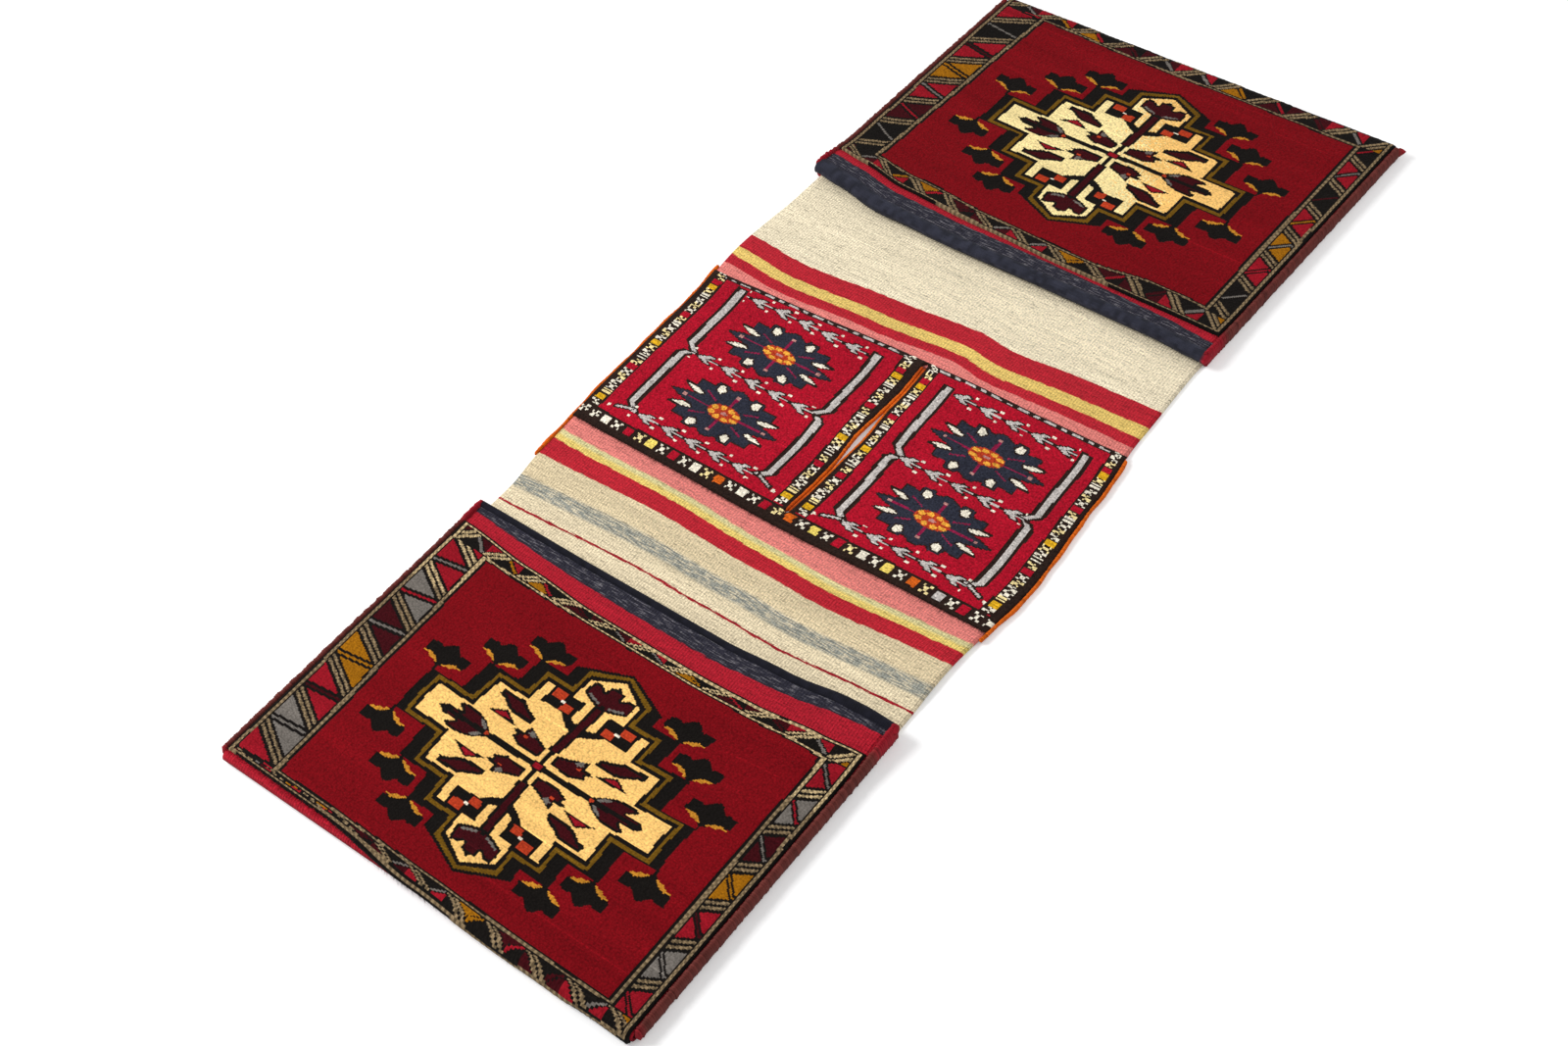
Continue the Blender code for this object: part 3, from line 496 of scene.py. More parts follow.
# How far the pile runs on past the face, down the bottom fold; the crimson cloth shows below it
FOLD_PILE = {
    "near": ((-250, -2.5), (-130, -1.0), (0, 5.0), (120, 8.0), (250, 8.7)),
    "far": ((-250, 6.0), (250, 6.0)),
}
SIDE_PITCH = 45.0
END_PITCH = 47.0
END_COLOURS = ("wine", "black", "bright_red", "black", "black", "mustard", "black", "wine")
LINE_COLOURS = ("grey", "bright_red", "grey", "mustard", "wine")
# A line along the strip is drawn thinner than one across it, as the rows of knots lie closer.
LINE_RATIO = 0.55
PILE_HALF = HALF_CLOTH - 2.0
BORDER_HALF = 246.0
# From the face's edge inwards: black, then taupe, then black as far as the border's own figures
EDGE_BLACK, EDGE_TAUPE, EDGE_RING = 2.0, 5.2, 6.6
# From the field outwards: black, a line of taupe, and black again
FIELD_TAUPE, FIELD_RING = (3.0, 6.6), 8.6
# Down a cell of a side border: the ends of the double bar's black, its two threads, and the thin
# line below it, which climbs towards the field
SIDE_SLOPE = 0.55
BAR_END, NEXT_BAR = 13.2, 41.8
FIRST_THREAD, SECOND_THREAD = 3.2, (6.0, 9.4)
SPLIT_AT, SPLIT_CLIMB, SPLIT_BLACK, SPLIT_THREAD = 40.5, 27.0, 4.2, 1.2
# Across a cell of an end border: where the bar and the thin line start, how far each moves over
# the border's height, and half their widths
RISING_AT, RISING_MOVE, FALLING_AT, FALLING_MOVE = 4, 21, 46, 20
RISING_BLACK, RISING_THREADS = 9.0, (1.5, 6.6)
FALLING_BLACK, FALLING_THREAD = 5.2, 2.6
# Above this height the near face's taupe is paler. The far medallion's ground is deeper gold at
# the right of a slanted line, with scattered knots along it.
PALE_ABOVE = 250
GOLD_SCATTER, GOLD_SLANT, GOLD_FROM = 18, 0.6, 35
CORNER_REACH, LEAST_BORDER = 7.0, 4.0
print("Cells down a side border:", len(NEAR_CELLS))

# %% The borders' knots
def numbered(names):
    """Wools' numbers as an array."""
    return np.array([yarn(name) for name in names])


def draw_side_border(ink, mask, inward, wide, along, colours):
    """Slanted double bars and pairs of triangles, 'inward' mm from the border's outer side."""
    place = along - SIDE_SLOPE * inward
    cell = np.floor(place / SIDE_PITCH).astype(int)
    t = place - cell * SIDE_PITCH
    share = np.clip(inward / wide, 0, 1)
    split = np.abs(t - (SPLIT_AT - SPLIT_CLIMB * share))
    own = numbered(colours)[np.clip(cell, 0, len(colours) - 1)]
    own = np.where(split < SPLIT_BLACK, yarn("black"), own)
    own = np.where(split < SPLIT_THREAD, numbered(LINE_COLOURS)[cell % len(LINE_COLOURS)], own)
    own = np.where((t < BAR_END) | (t > NEXT_BAR), yarn("black"), own)
    second = (t > SECOND_THREAD[0]) & (t < SECOND_THREAD[1])
    own = np.where((t < FIRST_THREAD) | second, yarn("taupe"), own)
    ink[mask] = own[mask]


def draw_end_border(ink, mask, outward, wide, across):
    """A zigzag of rising double bars and falling thin lines, with a triangle in each corner."""
    cell = np.floor(across / END_PITCH).astype(int)
    c = across - cell * END_PITCH
    share = np.clip(outward / wide, 0, 1)
    bar_at = RISING_AT + RISING_MOVE * share
    line_at = FALLING_AT - FALLING_MOVE * share
    rising = np.minimum(np.abs(c - bar_at), np.abs(c - bar_at - END_PITCH))
    falling = np.abs(c - line_at)
    below = (c > bar_at) & (c < line_at)
    own = numbered(END_COLOURS)[(cell * 2 + below) % len(END_COLOURS)]
    own = np.where(falling < FALLING_BLACK, yarn("black"), own)
    thread = numbered(LINE_COLOURS)[(cell * 3) % len(LINE_COLOURS)]
    own = np.where(falling < FALLING_THREAD, thread, own)
    own = np.where(rising < RISING_BLACK, yarn("black"), own)
    threads = (rising > RISING_THREADS[0]) & (rising < RISING_THREADS[1])
    own = np.where(threads, yarn("taupe"), own)
    ink[mask] = own[mask]


# %% A face's knots
def face_ink(x, d, edge_d, end):
    """The colour of each knot of a face, at x across and d up from the fold."""
    face = FACES[end]
    ink = np.full(x.shape, yarn("red"))
    left, right, slant = face["field"]
    low, high = eased(face["low"], x), eased(face["high"], x)
    left = left + slant * (1 - d / SLANT_LENGTH)
    side = np.maximum(left - x, x - right)
    rise = np.maximum(low - d, d - high) / LINE_RATIO
    ring = np.maximum(side, rise)
    over_fold = eased(FOLD_PILE[end], x)
    outer = np.minimum(PILE_HALF - np.abs(x), np.minimum(edge_d - d, d + over_fold) / LINE_RATIO)
    border = ring > 0
    ink[border] = yarn("black")
    sides = (
        ("left", x < left, -BORDER_HALF, left + BORDER_HALF, face["shift"][0]),
        ("right", x > right, BORDER_HALF, BORDER_HALF - right, face["shift"][1]),
    )
    for name, beside, start, room, shift in sides:
        inward = np.abs(x - start) - EDGE_RING
        beside = beside & (rise < CORNER_REACH) & (side > FIELD_RING) & (outer > EDGE_RING)
        draw_side_border(ink, border & beside, inward, room - EDGE_RING - FIELD_RING, shift - d, face[name])
    for past_end, room in ((d > high, edge_d - high), (d < low, low + over_fold)):
        wide = np.maximum(room / LINE_RATIO - EDGE_RING - FIELD_RING, LEAST_BORDER)
        mask = border & past_end & (rise > FIELD_RING) & (outer > EDGE_RING)
        draw_end_border(ink, mask, np.abs(rise) - FIELD_RING, wide, x + HALF_CLOTH)
    ink[(ring > FIELD_TAUPE[0]) & (ring < FIELD_TAUPE[1])] = yarn("taupe")
    ink[border & (outer < EDGE_TAUPE)] = yarn("taupe")
    ink[border & (outer < EDGE_BLACK)] = yarn("black")
    dy = d - face["middle"][1]
    dx = x - face["middle"][0] - face["lean"] * dy - face["bow"] * np.abs(dy)
    draw_medallion(ink, dx, dy, face["ground"])
    if end == "near":
        ink[(ink == yarn("taupe")) & (d > PALE_ABOVE)] = yarn("pale_taupe")
    golden = np.random.default_rng(9).normal(0, GOLD_SCATTER, x.shape) + dx - GOLD_SLANT * dy
    ink[(ink == yarn("pale_cream")) & (golden > GOLD_FROM)] = yarn("cream")
    return ink


# %% [markdown]
# ## The blocks on the bridge
# Two crimson pile blocks lie on the bridge, one on each side of its slit. Each has two navy
# star flowers with white tips, grey bars, rows of small grey darts, and a narrow guard border of
# crosses and bright squares on dark brown.

# %% The blocks' knots
STAR = (
    (0, 0), (65, 0), (52, 4), (40, 6.5), (34, 8.5), (58, 15.5), (46, 16.5), (46, 26), (30, 25),
    (28.5, 32.5), (17, 33), (14.5, 29), (10, 30), (4, 33.5), (0, 34),
)
STAR_PARTS = (
    (STAR, ("brown", 1.2), ("navy", 0)),
    (((16, 26), (21, 31), (26, 30), (26, 23), (20, 20.5)), ("brown", 1.6), ("white", 0)),
    (((34, 11), (44, 14.5), (56, 14), (46, 9.5), (37, 8.5)), ("brown", 1.6), ("white", 0)),
    ((-1, 1.8, 8, 24), "magenta"),
    ((17, 46, -1, 1.0), "magenta"),
    ((-1, 2.4, 23.5, 27), "pink"),
    ((46.5, 51, -1, 1.7), "pink"),
)
# Round spots of a star: their middle, half width, half height and wool
STAR_SPOTS = (
    (0, 0, 19.5, 10.5, "orange_red"),
    (5, 6.4, 3.9, 2.6, "amber"),
    (13.5, 3.4, 4.6, 2.4, "amber"),
    (0, 0, 4, 1.8, "pink"),
)
DART = (
    (-11, 0), (-6, 2.6), (-2, 3.4), (0, 5.6), (8, 5.6), (3, 2.8), (0, 0), (3, -2.8), (8, -5.6),
    (0, -5.6), (-2, -3.4), (-6, -2.6),
)
BLOCKS = {
    "left": {"middle": (-120.6, 0.0155), "bar": 87.0, "guard": 118.4},
    "right": {"middle": (132.3, 0.03), "bar": 80.5, "guard": 107.0},
}
STAR_ROWS = (40.5, -57.0)
DART_ROWS = (91.5, -6.7, -105.5)
DART_PITCH = 30.0
NEAR_GUARD = -129.7
NEAR_ROW, END_ROW = NEAR_GUARD + 8.2, NEAR_GUARD - 6.5
GREY_BARS = ((-5.0, 97.0), (-104.5, -8.5))
CROSS = np.array(((1, 0, 0, 1), (0, 1, 1, 0), (0, 1, 1, 0), (1, 0, 0, 1)), bool)
HOOK = np.array(((1, 1, 0, 0), (0, 1, 0, 1), (1, 0, 1, 0), (0, 0, 1, 1)), bool)
WALL = np.array(((1, 0, 1, 0), (1, 0, 1, 0), (1, 0, 1, 0), (1, 0, 1, 0)), bool)
GUARD_CODES = {
    "r": "crimson", "y": "yellow", "l": "lemon", "c": "white", "o": "orange", "g": "light_grey",
}
SIDE_GUARD = "zhryxwhzxrzwxhzyxhwzrxhzxwyhrx"
END_GUARD = "zcxrxlxrxcxoxcxrzoxlxrxcxlxoxgxrx"
# The pitch of a guard's figures and their width, for a side and for the near end, and the width
# of the band of figures
SIDE_PITCHES, END_PITCHES, BAND_WIDE = (8.3, 7.6), (14.5, 9.6), 10.6


def draw_guard(ink, mask, along, across, codes, pitch, size):
    """Small squares in a row: a cross, a hook or a plain colour, as the letters say.

    Each figure is 'size' mm across on a ground of dark brown, in four by four steps.
    """
    cell = np.floor(along / pitch).astype(int)
    column = np.floor(((along / pitch - cell - 0.5) * pitch / size + 0.5) * 4).astype(int)
    row = np.floor((across / BAND_WIDE + 0.5) * 4).astype(int)
    inside = (column >= 0) & (column < 4) & (row >= 0) & (row < 4)
    column, row = np.clip(column, 0, 3), np.clip(row, 0, 3)
    letters = np.array(list(codes))[np.clip(cell, 0, len(codes) - 1)]
    pale = np.where(cell % 3 == 1, yarn("pale_cream"), yarn("white"))
    own = np.full(ink.shape, yarn("brown"))
    for letter, figure in (("x", CROSS), ("z", HOOK), ("h", HOOK[:, ::-1]), ("w", WALL)):
        own = np.where((letters == letter) & figure[row, column], pale, own)
    for letter, name in GUARD_CODES.items():
        own = np.where(letters == letter, yarn(name), own)
    ink[mask & inside] = own[mask & inside]


def block_ink(x, s, side, edge, far_edge):
    """The colour of each knot of a block, 'edge' mm from its nearest side edge."""
    block = BLOCKS[side]
    ink = np.full(x.shape, yarn("crimson"))
    centre, lean = block["middle"]
    lx = x - centre - lean * (s + 8)
    ax = np.abs(lx)

    for low, high in GREY_BARS:
        bent = 1.1 * np.clip(low + 9.0 - s, 0, 9) + 0.9 * np.clip(s - high + 5.0, 0, 5) * (high < 0)
        off = np.abs(ax - block["bar"] + bent)
        ink[(off < 7.2) & (s > low - 2) & (s < high + 2)] = yarn("brown")
        ink[(off < 3.4) & (s > low) & (s < high)] = yarn("light_grey")
    beside = ax - block["bar"]
    twig = np.abs(s + 105.5 + 0.35 * beside)
    for wool, half, at, reach in (("brown", 3.2, 2, 11), ("light_grey", 1.2, 2, 9), ("white", 1.8, 17, 2)):
        ink[(twig < half) & (np.abs(beside - at) < reach)] = yarn(wool)
    for row in DART_ROWS:
        dart_x = (lx + 2.5 * DART_PITCH) % DART_PITCH - DART_PITCH / 2
        off = np.abs(s - row)
        near_row = (off < 14) & (ax < block["bar"] - 8)
        own = ink.copy()
        own[off < 1.6] = yarn("brown")
        draw(own, dart_x, s - row, DART, ("brown", 1.5), ("light_grey", 0))
        own[(off < 0.9) & (dart_x > 1)] = yarn("light_grey")
        own[bar(np.abs(dart_x - 12), np.abs(off - 7.5), -1, 2, -1, 1.3)] = yarn("white")
        ink[near_row] = own[near_row]

    for row in STAR_ROWS:
        bx, by = ax, np.abs(s - row)
        paint(ink, bx, by, STAR_PARTS)
        ink[np.abs(by - 0.42 * bx - 2.5) + 9 * ((bx < 17) | (bx > 33)) < 0.9] = yarn("magenta")
        for px, py, wide, high, wool in STAR_SPOTS:
            ink[np.hypot((bx - px) / wide, (by - py) / high) < 1] = yarn(wool)

    guard = block["guard"]
    for sign in (-1, 1):
        offset = lx * sign - guard
        mask = (np.abs(offset) < 7.4) & (s > NEAR_GUARD - 8)
        ink[mask] = yarn("brown")
        draw_guard(ink, mask, 112 - s, offset, SIDE_GUARD, *SIDE_PITCHES)
    ink[ax > guard + 6.0] = yarn("brown")
    mask = s < NEAR_ROW
    ink[mask] = yarn("brown")
    draw_guard(ink, mask, x + 237.9, s - NEAR_GUARD, END_GUARD, *END_PITCHES)
    top = far_edge - s
    inside = ax < guard - 4
    dashes = (np.floor((x + HALF_CLOTH) / 6.2).astype(int) * 7 % 5) > 1
    ink[(top < 5.5) & inside] = yarn("brown")
    ink[(top < 4.2) & (top > 2.0) & inside & dashes] = yarn("light_grey")
    ink[((edge < 3.5) & (s > NEAR_ROW)) | (s < END_ROW)] = yarn("brown")
    return ink


print("Figures in a guard:", len(SIDE_GUARD), "at a side and", len(END_GUARD), "at the end")

# %% [markdown]
# ## Materials
# Wool is matt, with a soft bright rim where the fibres catch the light, which Blender's sheen
# gives. The pile material reads each knot's colour from the corner attribute and adds the tufts:
# a Voronoi pattern with one cell a knot, on the flat places, with painted light at each tuft's
# middle and painted shade at its edges. The flat weave is built from ribs, whose grooves are
# painted darker as shade.

# %% A node helper
def new_material(name):
    """An empty material with nodes."""
    material = bpy.data.materials.new(name)
    material.use_nodes = True
    return material


def connect(tree, made, inputs):
    """Fills a node's inputs: a socket is linked and a value is set.

    An input goes by its name, with _ for a space, or as in3 by its number.
    """
    for key, value in inputs.items():
        socket = made.inputs[int(key[2:]) if key.startswith("in") else key.replace("_", " ")]
        if isinstance(value, bpy.types.NodeSocket):
            tree.links.new(value, socket)
        else:
            socket.default_value = value


def node(tree, kind, settings=None, output=None, **inputs):
    """Adds a node and returns the output that is named, or else the first one in use."""
    made = tree.nodes.new("ShaderNode" + kind)
    for key, value in (settings or {}).items():
        setattr(made, key, value)
    connect(tree, made, inputs)
    return made.outputs[output] if output else next(o for o in made.outputs if o.enabled)


def shaded(
    material, colour, height, roughness, specular, sheen, sheen_roughness, strength, depth
):
    """Gives a wool its surface: matt, with sheen, and a bump 'depth' metres deep."""
    tree = material.node_tree
    bump = node(tree, "Bump", Strength=strength, Distance=depth, Height=height)
    surface = {
        "Base_Color": colour, "Roughness": roughness, "Specular_IOR_Level": specular,
        "Sheen_Weight": sheen, "Sheen_Roughness": sheen_roughness, "Normal": bump,
    }
    connect(tree, tree.nodes["Principled BSDF"], surface)
    return material


# %% Knotted pile
KNOT_WIDE = 3.1
KNOT_HIGH = 2.1
GRID_WIDE = KNOT_WIDE / 2
GRID_HIGH = KNOT_HIGH / 1.5
TIMES = {"operation": "MULTIPLY"}
PLUS = {"operation": "ADD"}
SCALED = {"operation": "SCALE"}
EASED = {"interpolation_type": "SMOOTHSTEP"}
LAID_OVER = {"data_type": "RGBA"}


def pile_material(name, tuft_depth, sheen):
    """Knotted pile: colour from the knots, with painted light and shade on a tuft to each knot, and a
    mottle of fine fibres.
    """
    material = new_material(name)
    tree = material.node_tree
    colour = node(tree, "Attribute", {"attribute_name": "yarn"})
    place = node(tree, "UVMap", {"uv_map": "flat"})
    knots = node(tree, "Mapping", in0=place, in3=(1000 / KNOT_WIDE, 1000 / KNOT_HIGH, 1))
    flat = {"voronoi_dimensions": "2D"}
    tuft = node(tree, "TexVoronoi", flat, Vector=knots, Scale=1.0, Randomness=0.75)
    fibre = node(tree, "TexNoise", Vector=place, Scale=900.0, Detail=3.0)
    # Painted light and shade: each tuft is lighter at its middle and darker towards its edges, in step with
    # its bump. The fibres' mottle is the wool's own.
    shade = node(tree, "MapRange", in0=tuft, in1=0.15, in2=0.8, in3=1.10, in4=0.74)
    mottle = node(tree, "MapRange", in0=fibre, in1=0.3, in2=0.7, in3=0.90, in4=1.10)
    both = node(tree, "Math", TIMES, in0=shade, in1=mottle)
    tinted = node(tree, "VectorMath", SCALED, in0=colour, in3=both)
    height = node(tree, "Math", {"operation": "SUBTRACT"}, in0=fibre, in1=tuft)
    return shaded(
        material, tinted, height, roughness=0.95, specular=0.05, sheen=sheen, sheen_roughness=0.45,
        strength=0.8, depth=tuft_depth,
    )


# The faces are sheep's wool, hand-knotted and clipped short: cut ends of yarn, each 3.1 by 2.1 mm,
# give the eye a fine grain with no gloss. The fibres, really 0.03 mm, are drawn about 1 mm wide.
FACE_WOOL = pile_material("knotted_wool_pile", 0.0009, 0.015)
# The blocks are the same wool with longer, looser tufts, so their grain is deeper and the rim of
# light on them is brighter.
BLOCK_WOOL = pile_material("shaggy_wool_pile", 0.0012, 0.03)
print("Made", FACE_WOOL.name, "and", BLOCK_WOOL.name)

# %% [markdown]
# The flat weave needs two places for each point: its real place on the cloth, for the wefts, and
# its place among the stripes, which is bent so that slanted stripes come out straight. A chain of
# mixes then lays one stripe after another, and each starts where the one before it ends.

# %% The stripes' places
# Stripes of the flat weave: the wool, how softly its far edge blends (mm), and where it ends along
# the strip at the left edge, the middle and the right edge.
STRIPES = (
    ("dark_roll", 0.6, (-1021, -1018, -1019)),
    ("navy_hem", 0.6, (-1009, -998, -1008)),
    ("hem_red", 3.0, (-657, -657, -657)),
    ("back_red", 2.0, (-400, -400, -400)),
    ("beige", 0.4, (-270.4, -262.4, -251.9)),
    ("twine", 0.4, (-267.8, -259.8, -249.3)),
    ("beige", 2.0, (-248.0, -241.5, -234.0)),
    ("slate", 2.6, (-232.0, -225.0, -217.0)),
    ("tan", 0.5, (-200.5, -197.3, -187.7)),
    ("stripe_red", 0.5, (-176.2, -178.8, -170.2)),
    ("straw", 2.5, (-169.0, -171.5, -163.0)),
    ("pale_straw", 1.2, (-162.6, -165.5, -156.6)),
    ("rose", 0.5, (123.5, 128.0, 133.0)),
    ("stripe_red", 0.5, (137.5, 140.0, 147.0)),
    ("honey", 0.5, (151.0, 154.0, 164.0)),
    ("stripe_red", 0.5, (172.5, 179.0, 189.5)),
    ("pale_beige", 2.0, (400, 400, 400)),
    ("back_red", 3.0, (657, 657, 657)),
    ("hem_red", 0.6, (1013, 1013, 1019)),
    ("navy_hem", 0.6, (1033, 1038, 1040)),
    ("dark_roll", 0.6, (1100, 1100, 1100)),
)
WEAVE = {
    "dark_roll": "17151A",
    "navy_hem": "2B2A35",
    "hem_red": "B01B2C",
    "back_red": "7D1220",
    "beige": "EEDDBA",
    "pale_beige": "F6E8C9",
    "twine": "A31C28",
    "slate": "96988F",
    "tan": "E2CFA9",
    "stripe_red": "BC2331",
    "straw": "EBCF74",
    "pale_straw": "DDD39A",
    "rose": "E8857D",
    "honey": "EDCB72",
}
NOMINAL = np.array([places[1] for _, _, places in STRIPES], float)
# A slow wave bends the stripes' edges: from where to where along the strip, and the wave's height
# across the strip
EDGE_WAVES = (
    ((-280, -150), ((-250, 0), (-81, 3.5), (20, -1.0), (105, -5.0), (200, -1.0), (250, 0))),
    (
        (120, 180),
        ((-250, 0), (-178, -7), (-71, -2.5), (19, 4.5), (72, -3.0), (162, 1.0), (250, 0)),
    ),
)


def stripe_place(x, s):
    """The place along the strip, bent so that each stripe's slanted edges come out straight.

    At each x, the stripes' edges are a smooth line through their left, middle and right places,
    with a slow wave on each half, and s is read off between them.
    """
    left, middle, right = (np.array([places[k] for _, _, places in STRIPES], float) for k in range(3))
    column = x[:, 0]
    bends = [
        eased(table, column)[:, None] * ((NOMINAL > low) & (NOMINAL < high))
        for (low, high), table in EDGE_WAVES
    ]
    out = np.empty_like(s)
    for row, a in enumerate(column / HALF_CLOTH):
        edges = middle + (right - left) / 2 * a + ((right + left) / 2 - middle) * a * a
        edges = np.maximum.accumulate(edges + sum(bend[row] for bend in bends))
        out[row] = np.interp(s[row], edges, NOMINAL)
    return out


print("Stripes along the strip:", len(STRIPES))

# %% The flat weave
# Noise drawn out along the wefts: waves in a metre across the strip and along it, and its detail.
# A real weft of two plies is 0.8 mm thick and would not show, so the dashes that it makes are
# drawn about 1.6 mm thick and 11 mm long, with a fine grain of 2.1 mm. The baths are the slow
# changes of the dye.
WEFT_NOISE = {"heather": (14, 800, 3.0), "dashes": (90, 620, 2.0), "baths": (4, 60, 2.0)}
WARP_PITCH = 0.0031
WEFT_PITCH = 0.0016
FINE_GRAIN = 480.0
# Wefts of two colours together: the wool of the second, between which places they lie (soft
# starts and ends in m), and which of the dashes show how much. The slate stripe's ends are ragged
# ("at") and the hems' are straight ("along"). The hems' flecks are grey.
FLECK = "8F8B90"
HEATHERED = (
    ("at", WEAVE["beige"], (-0.245, -0.239), (-0.220, -0.226), (0.47, 0.60, 0.60)),
    ("along", FLECK, (-1.3, -1.2), (-0.9985, -1.0005), (0.52, 0.66, 0.45)),
    ("along", FLECK, (1.0125, 1.0145), (1.3, 1.2), (0.52, 0.66, 0.45)),
)


def weave_material(name):
    """Weft-faced flat weave: stripes by place, heathered wefts across, and ribs over the warps with painted
    shade in their grooves.
    """
    material = new_material(name)
    tree = material.node_tree
    place = node(tree, "UVMap", {"uv_map": "flat"})
    stripe = node(tree, "UVMap", {"uv_map": "stripe"})
    along = node(tree, "SeparateXYZ", output="Y", Vector=stripe)
    noise = {}
    for kind, (across_waves, along_waves, detail) in WEFT_NOISE.items():
        spread = node(tree, "Mapping", in0=place, in3=(across_waves, along_waves, 1))
        noise[kind] = node(tree, "TexNoise", Vector=spread, Scale=1.0, Detail=detail)
    ragged = node(tree, "MapRange", in0=noise["dashes"], in1=0.25, in2=0.75, in3=-0.0011, in4=0.0011)
    at = node(tree, "Math", PLUS, in0=along, in1=ragged)

    colour = (*linear(WEAVE[STRIPES[0][0]]), 1)
    for (_, soft, _), edge, (wool, _, _) in zip(STRIPES, NOMINAL, STRIPES[1:]):
        share = node(tree, "MapRange", EASED, in0=at, in1=(edge - soft) * MM, in2=(edge + soft) * MM)
        colour = node(tree, "Mix", LAID_OVER, in0=share, in6=colour, in7=(*linear(WEAVE[wool]), 1))
    for reads, wool, start, stop, (low, high, most) in HEATHERED:
        where = at if reads == "at" else along
        begun = node(tree, "MapRange", EASED, in0=where, in1=start[0], in2=start[1])
        ended = node(tree, "MapRange", EASED, in0=where, in1=stop[0], in2=stop[1])
        inside = node(tree, "Math", TIMES, in0=begun, in1=ended)
        shown = node(tree, "MapRange", EASED, in0=noise["dashes"], in1=low, in2=high, in4=most)
        share = node(tree, "Math", TIMES, in0=inside, in1=shown)
        colour = node(tree, "Mix", LAID_OVER, in0=share, in6=colour, in7=(*linear(wool), 1))

    ribs = {}
    for axis, pitch, bend in (("X", WARP_PITCH, 0.0), ("Y", WEFT_PITCH, 2.0)):
        settings = {"wave_type": "BANDS", "bands_direction": axis, "wave_profile": "SIN"}
        ribs[axis] = node(
            tree, "TexWave", settings, "Fac",
            Vector=place, Scale=math.pi / 10 / pitch, Distortion=bend, Detail=2.0,
        )
    fine = node(tree, "TexNoise", Vector=place, Scale=FINE_GRAIN, Detail=3.0)
    shade = 1.0
    # Painted shade: the warp ribs' grooves are darker, in step with their bump. Heather, dashes, dye baths
    # and the fine grain are the wool's own lighter and darker wefts.
    for value, curve, low, high, dark, light in (
        (ribs["X"], None, 0.0, 1.0, 0.90, 1.04),
        (noise["heather"], None, 0.3, 0.7, 0.80, 1.12),
        (noise["dashes"], EASED, 0.28, 0.46, 0.58, 1.0),
        (noise["baths"], None, 0.3, 0.7, 0.92, 1.07),
        (fine, None, 0.35, 0.65, 0.72, 1.26),
    ):
        tone = node(tree, "MapRange", curve, in0=value, in1=low, in2=high, in3=dark, in4=light)
        shade = node(tree, "Math", TIMES, in0=shade, in1=tone)
    tinted = node(tree, "VectorMath", SCALED, in0=colour, in3=shade)
    height = node(tree, "Math", PLUS, in0=ribs["X"], in1=ribs["Y"])
    return shaded(
        material, tinted, height, roughness=0.9, specular=0.1, sheen=0.02, sheen_roughness=0.5,
        strength=0.8, depth=0.0005,
    )


# The flat weave is wool wefts beaten down over wool warps 3.1 mm apart, which gives the eye ribs
# along the strip and short dashes of lighter and darker wool across it.
KILIM = weave_material("flat_woven_kilim")
print("Made", KILIM.name)

# %% [markdown]
# The seams, bindings and rolls are yarn. Each turn of it has its own colour in the corner
# attribute, with painted shade in the grooves between turns, and noise on the object's own
# coordinates gives it fibres.

# %% Wrapped yarn
def yarn_material(name):
    """Wrapped yarn: its colour from the wraps' own attribute, with fibres along each wrap."""
    material = new_material(name)
    tree = material.node_tree
    colour = node(tree, "Attribute", {"attribute_name": "yarn"})
    place = node(tree, "TexCoord", output="Object")
    fibre = node(tree, "TexNoise", Vector=place, Scale=1500.0, Detail=2.0)
    shade = node(tree, "MapRange", in0=fibre, in1=0.3, in2=0.7, in3=0.8, in4=1.15)
    tinted = node(tree, "VectorMath", SCALED, in0=colour, in3=shade)
    return shaded(
        material, tinted, fibre, roughness=0.85, specular=0.1, sheen=0.03, sheen_roughness=0.5,
        strength=0.5, depth=0.0002,
    )


# The seams and bindings are spun wool yarn, wrapped close: smoother than the pile, so each wrap
# has a soft light side. Its fibres are drawn about 0.7 mm wide, as real ones are too fine.
OVERCAST_WOOL = yarn_material("overcast_wool_yarn")
print("Made", OVERCAST_WOOL.name)

# %% [markdown]
# ## The ground cloth
# This is the kilim itself: one thin sheet that makes the backs, the bridge, the hems and what
# lies under the pile. It is a grid of points with a slit down the bridge: left and right of the
# slit the columns part, and elsewhere they meet and are merged. Solidify then gives it thickness.
# The folds are exact half turns, so they are worked out rather than simulated.

# %% The slit and the sheet
SLIT_START, SLIT_END = -124.0, 110.0
SLIT_X_START, SLIT_X_END = 7.5, 18.5
SLIT_LEAST, SLIT_MOST, SLIT_MOST_AT, SLIT_BULGE = 0.4, 6.0, -4.0, 52.0
SLIT_EDGE = 2.4


def slit_middle(s):
    """The slit's line, straight on past its two ends."""
    return SLIT_X_START + (SLIT_X_END - SLIT_X_START) * (s - SLIT_START) / (SLIT_END - SLIT_START)


def slit_half(s):
    """Half the open width between the slit's bound edges; negative past the slit's ends."""
    bulge = 1 - smooth(np.abs(s - SLIT_MOST_AT) / SLIT_BULGE)
    open_half = (SLIT_LEAST + (SLIT_MOST - SLIT_LEAST) * bulge) / 2
    return np.where((s >= SLIT_START) & (s <= SLIT_END), open_half, -1.0)


# The ends' rows start here, and they are closer together from this far before the mouth.
CLOTH_SPLIT, NEAR_MOUTH = 255, 75


def end_rows(mouth):
    """Places along one end of the strip, closer together where it turns, from the bridge out."""
    fold = FOLD_Y + FOLD_ARC
    hem = mouth + HEM_ARC
    parts = (
        (CLOTH_SPLIT, FOLD_Y, 60), (FOLD_Y, fold, 13), (fold, mouth - NEAR_MOUTH, 30),
        (mouth - NEAR_MOUTH, mouth, 26), (mouth, hem, 13),
    )
    rows = [np.linspace(start, stop, count)[:-1] for start, stop, count in parts]
    return np.concatenate([*rows, np.linspace(hem, hem + HEM_LENGTH, 4)])


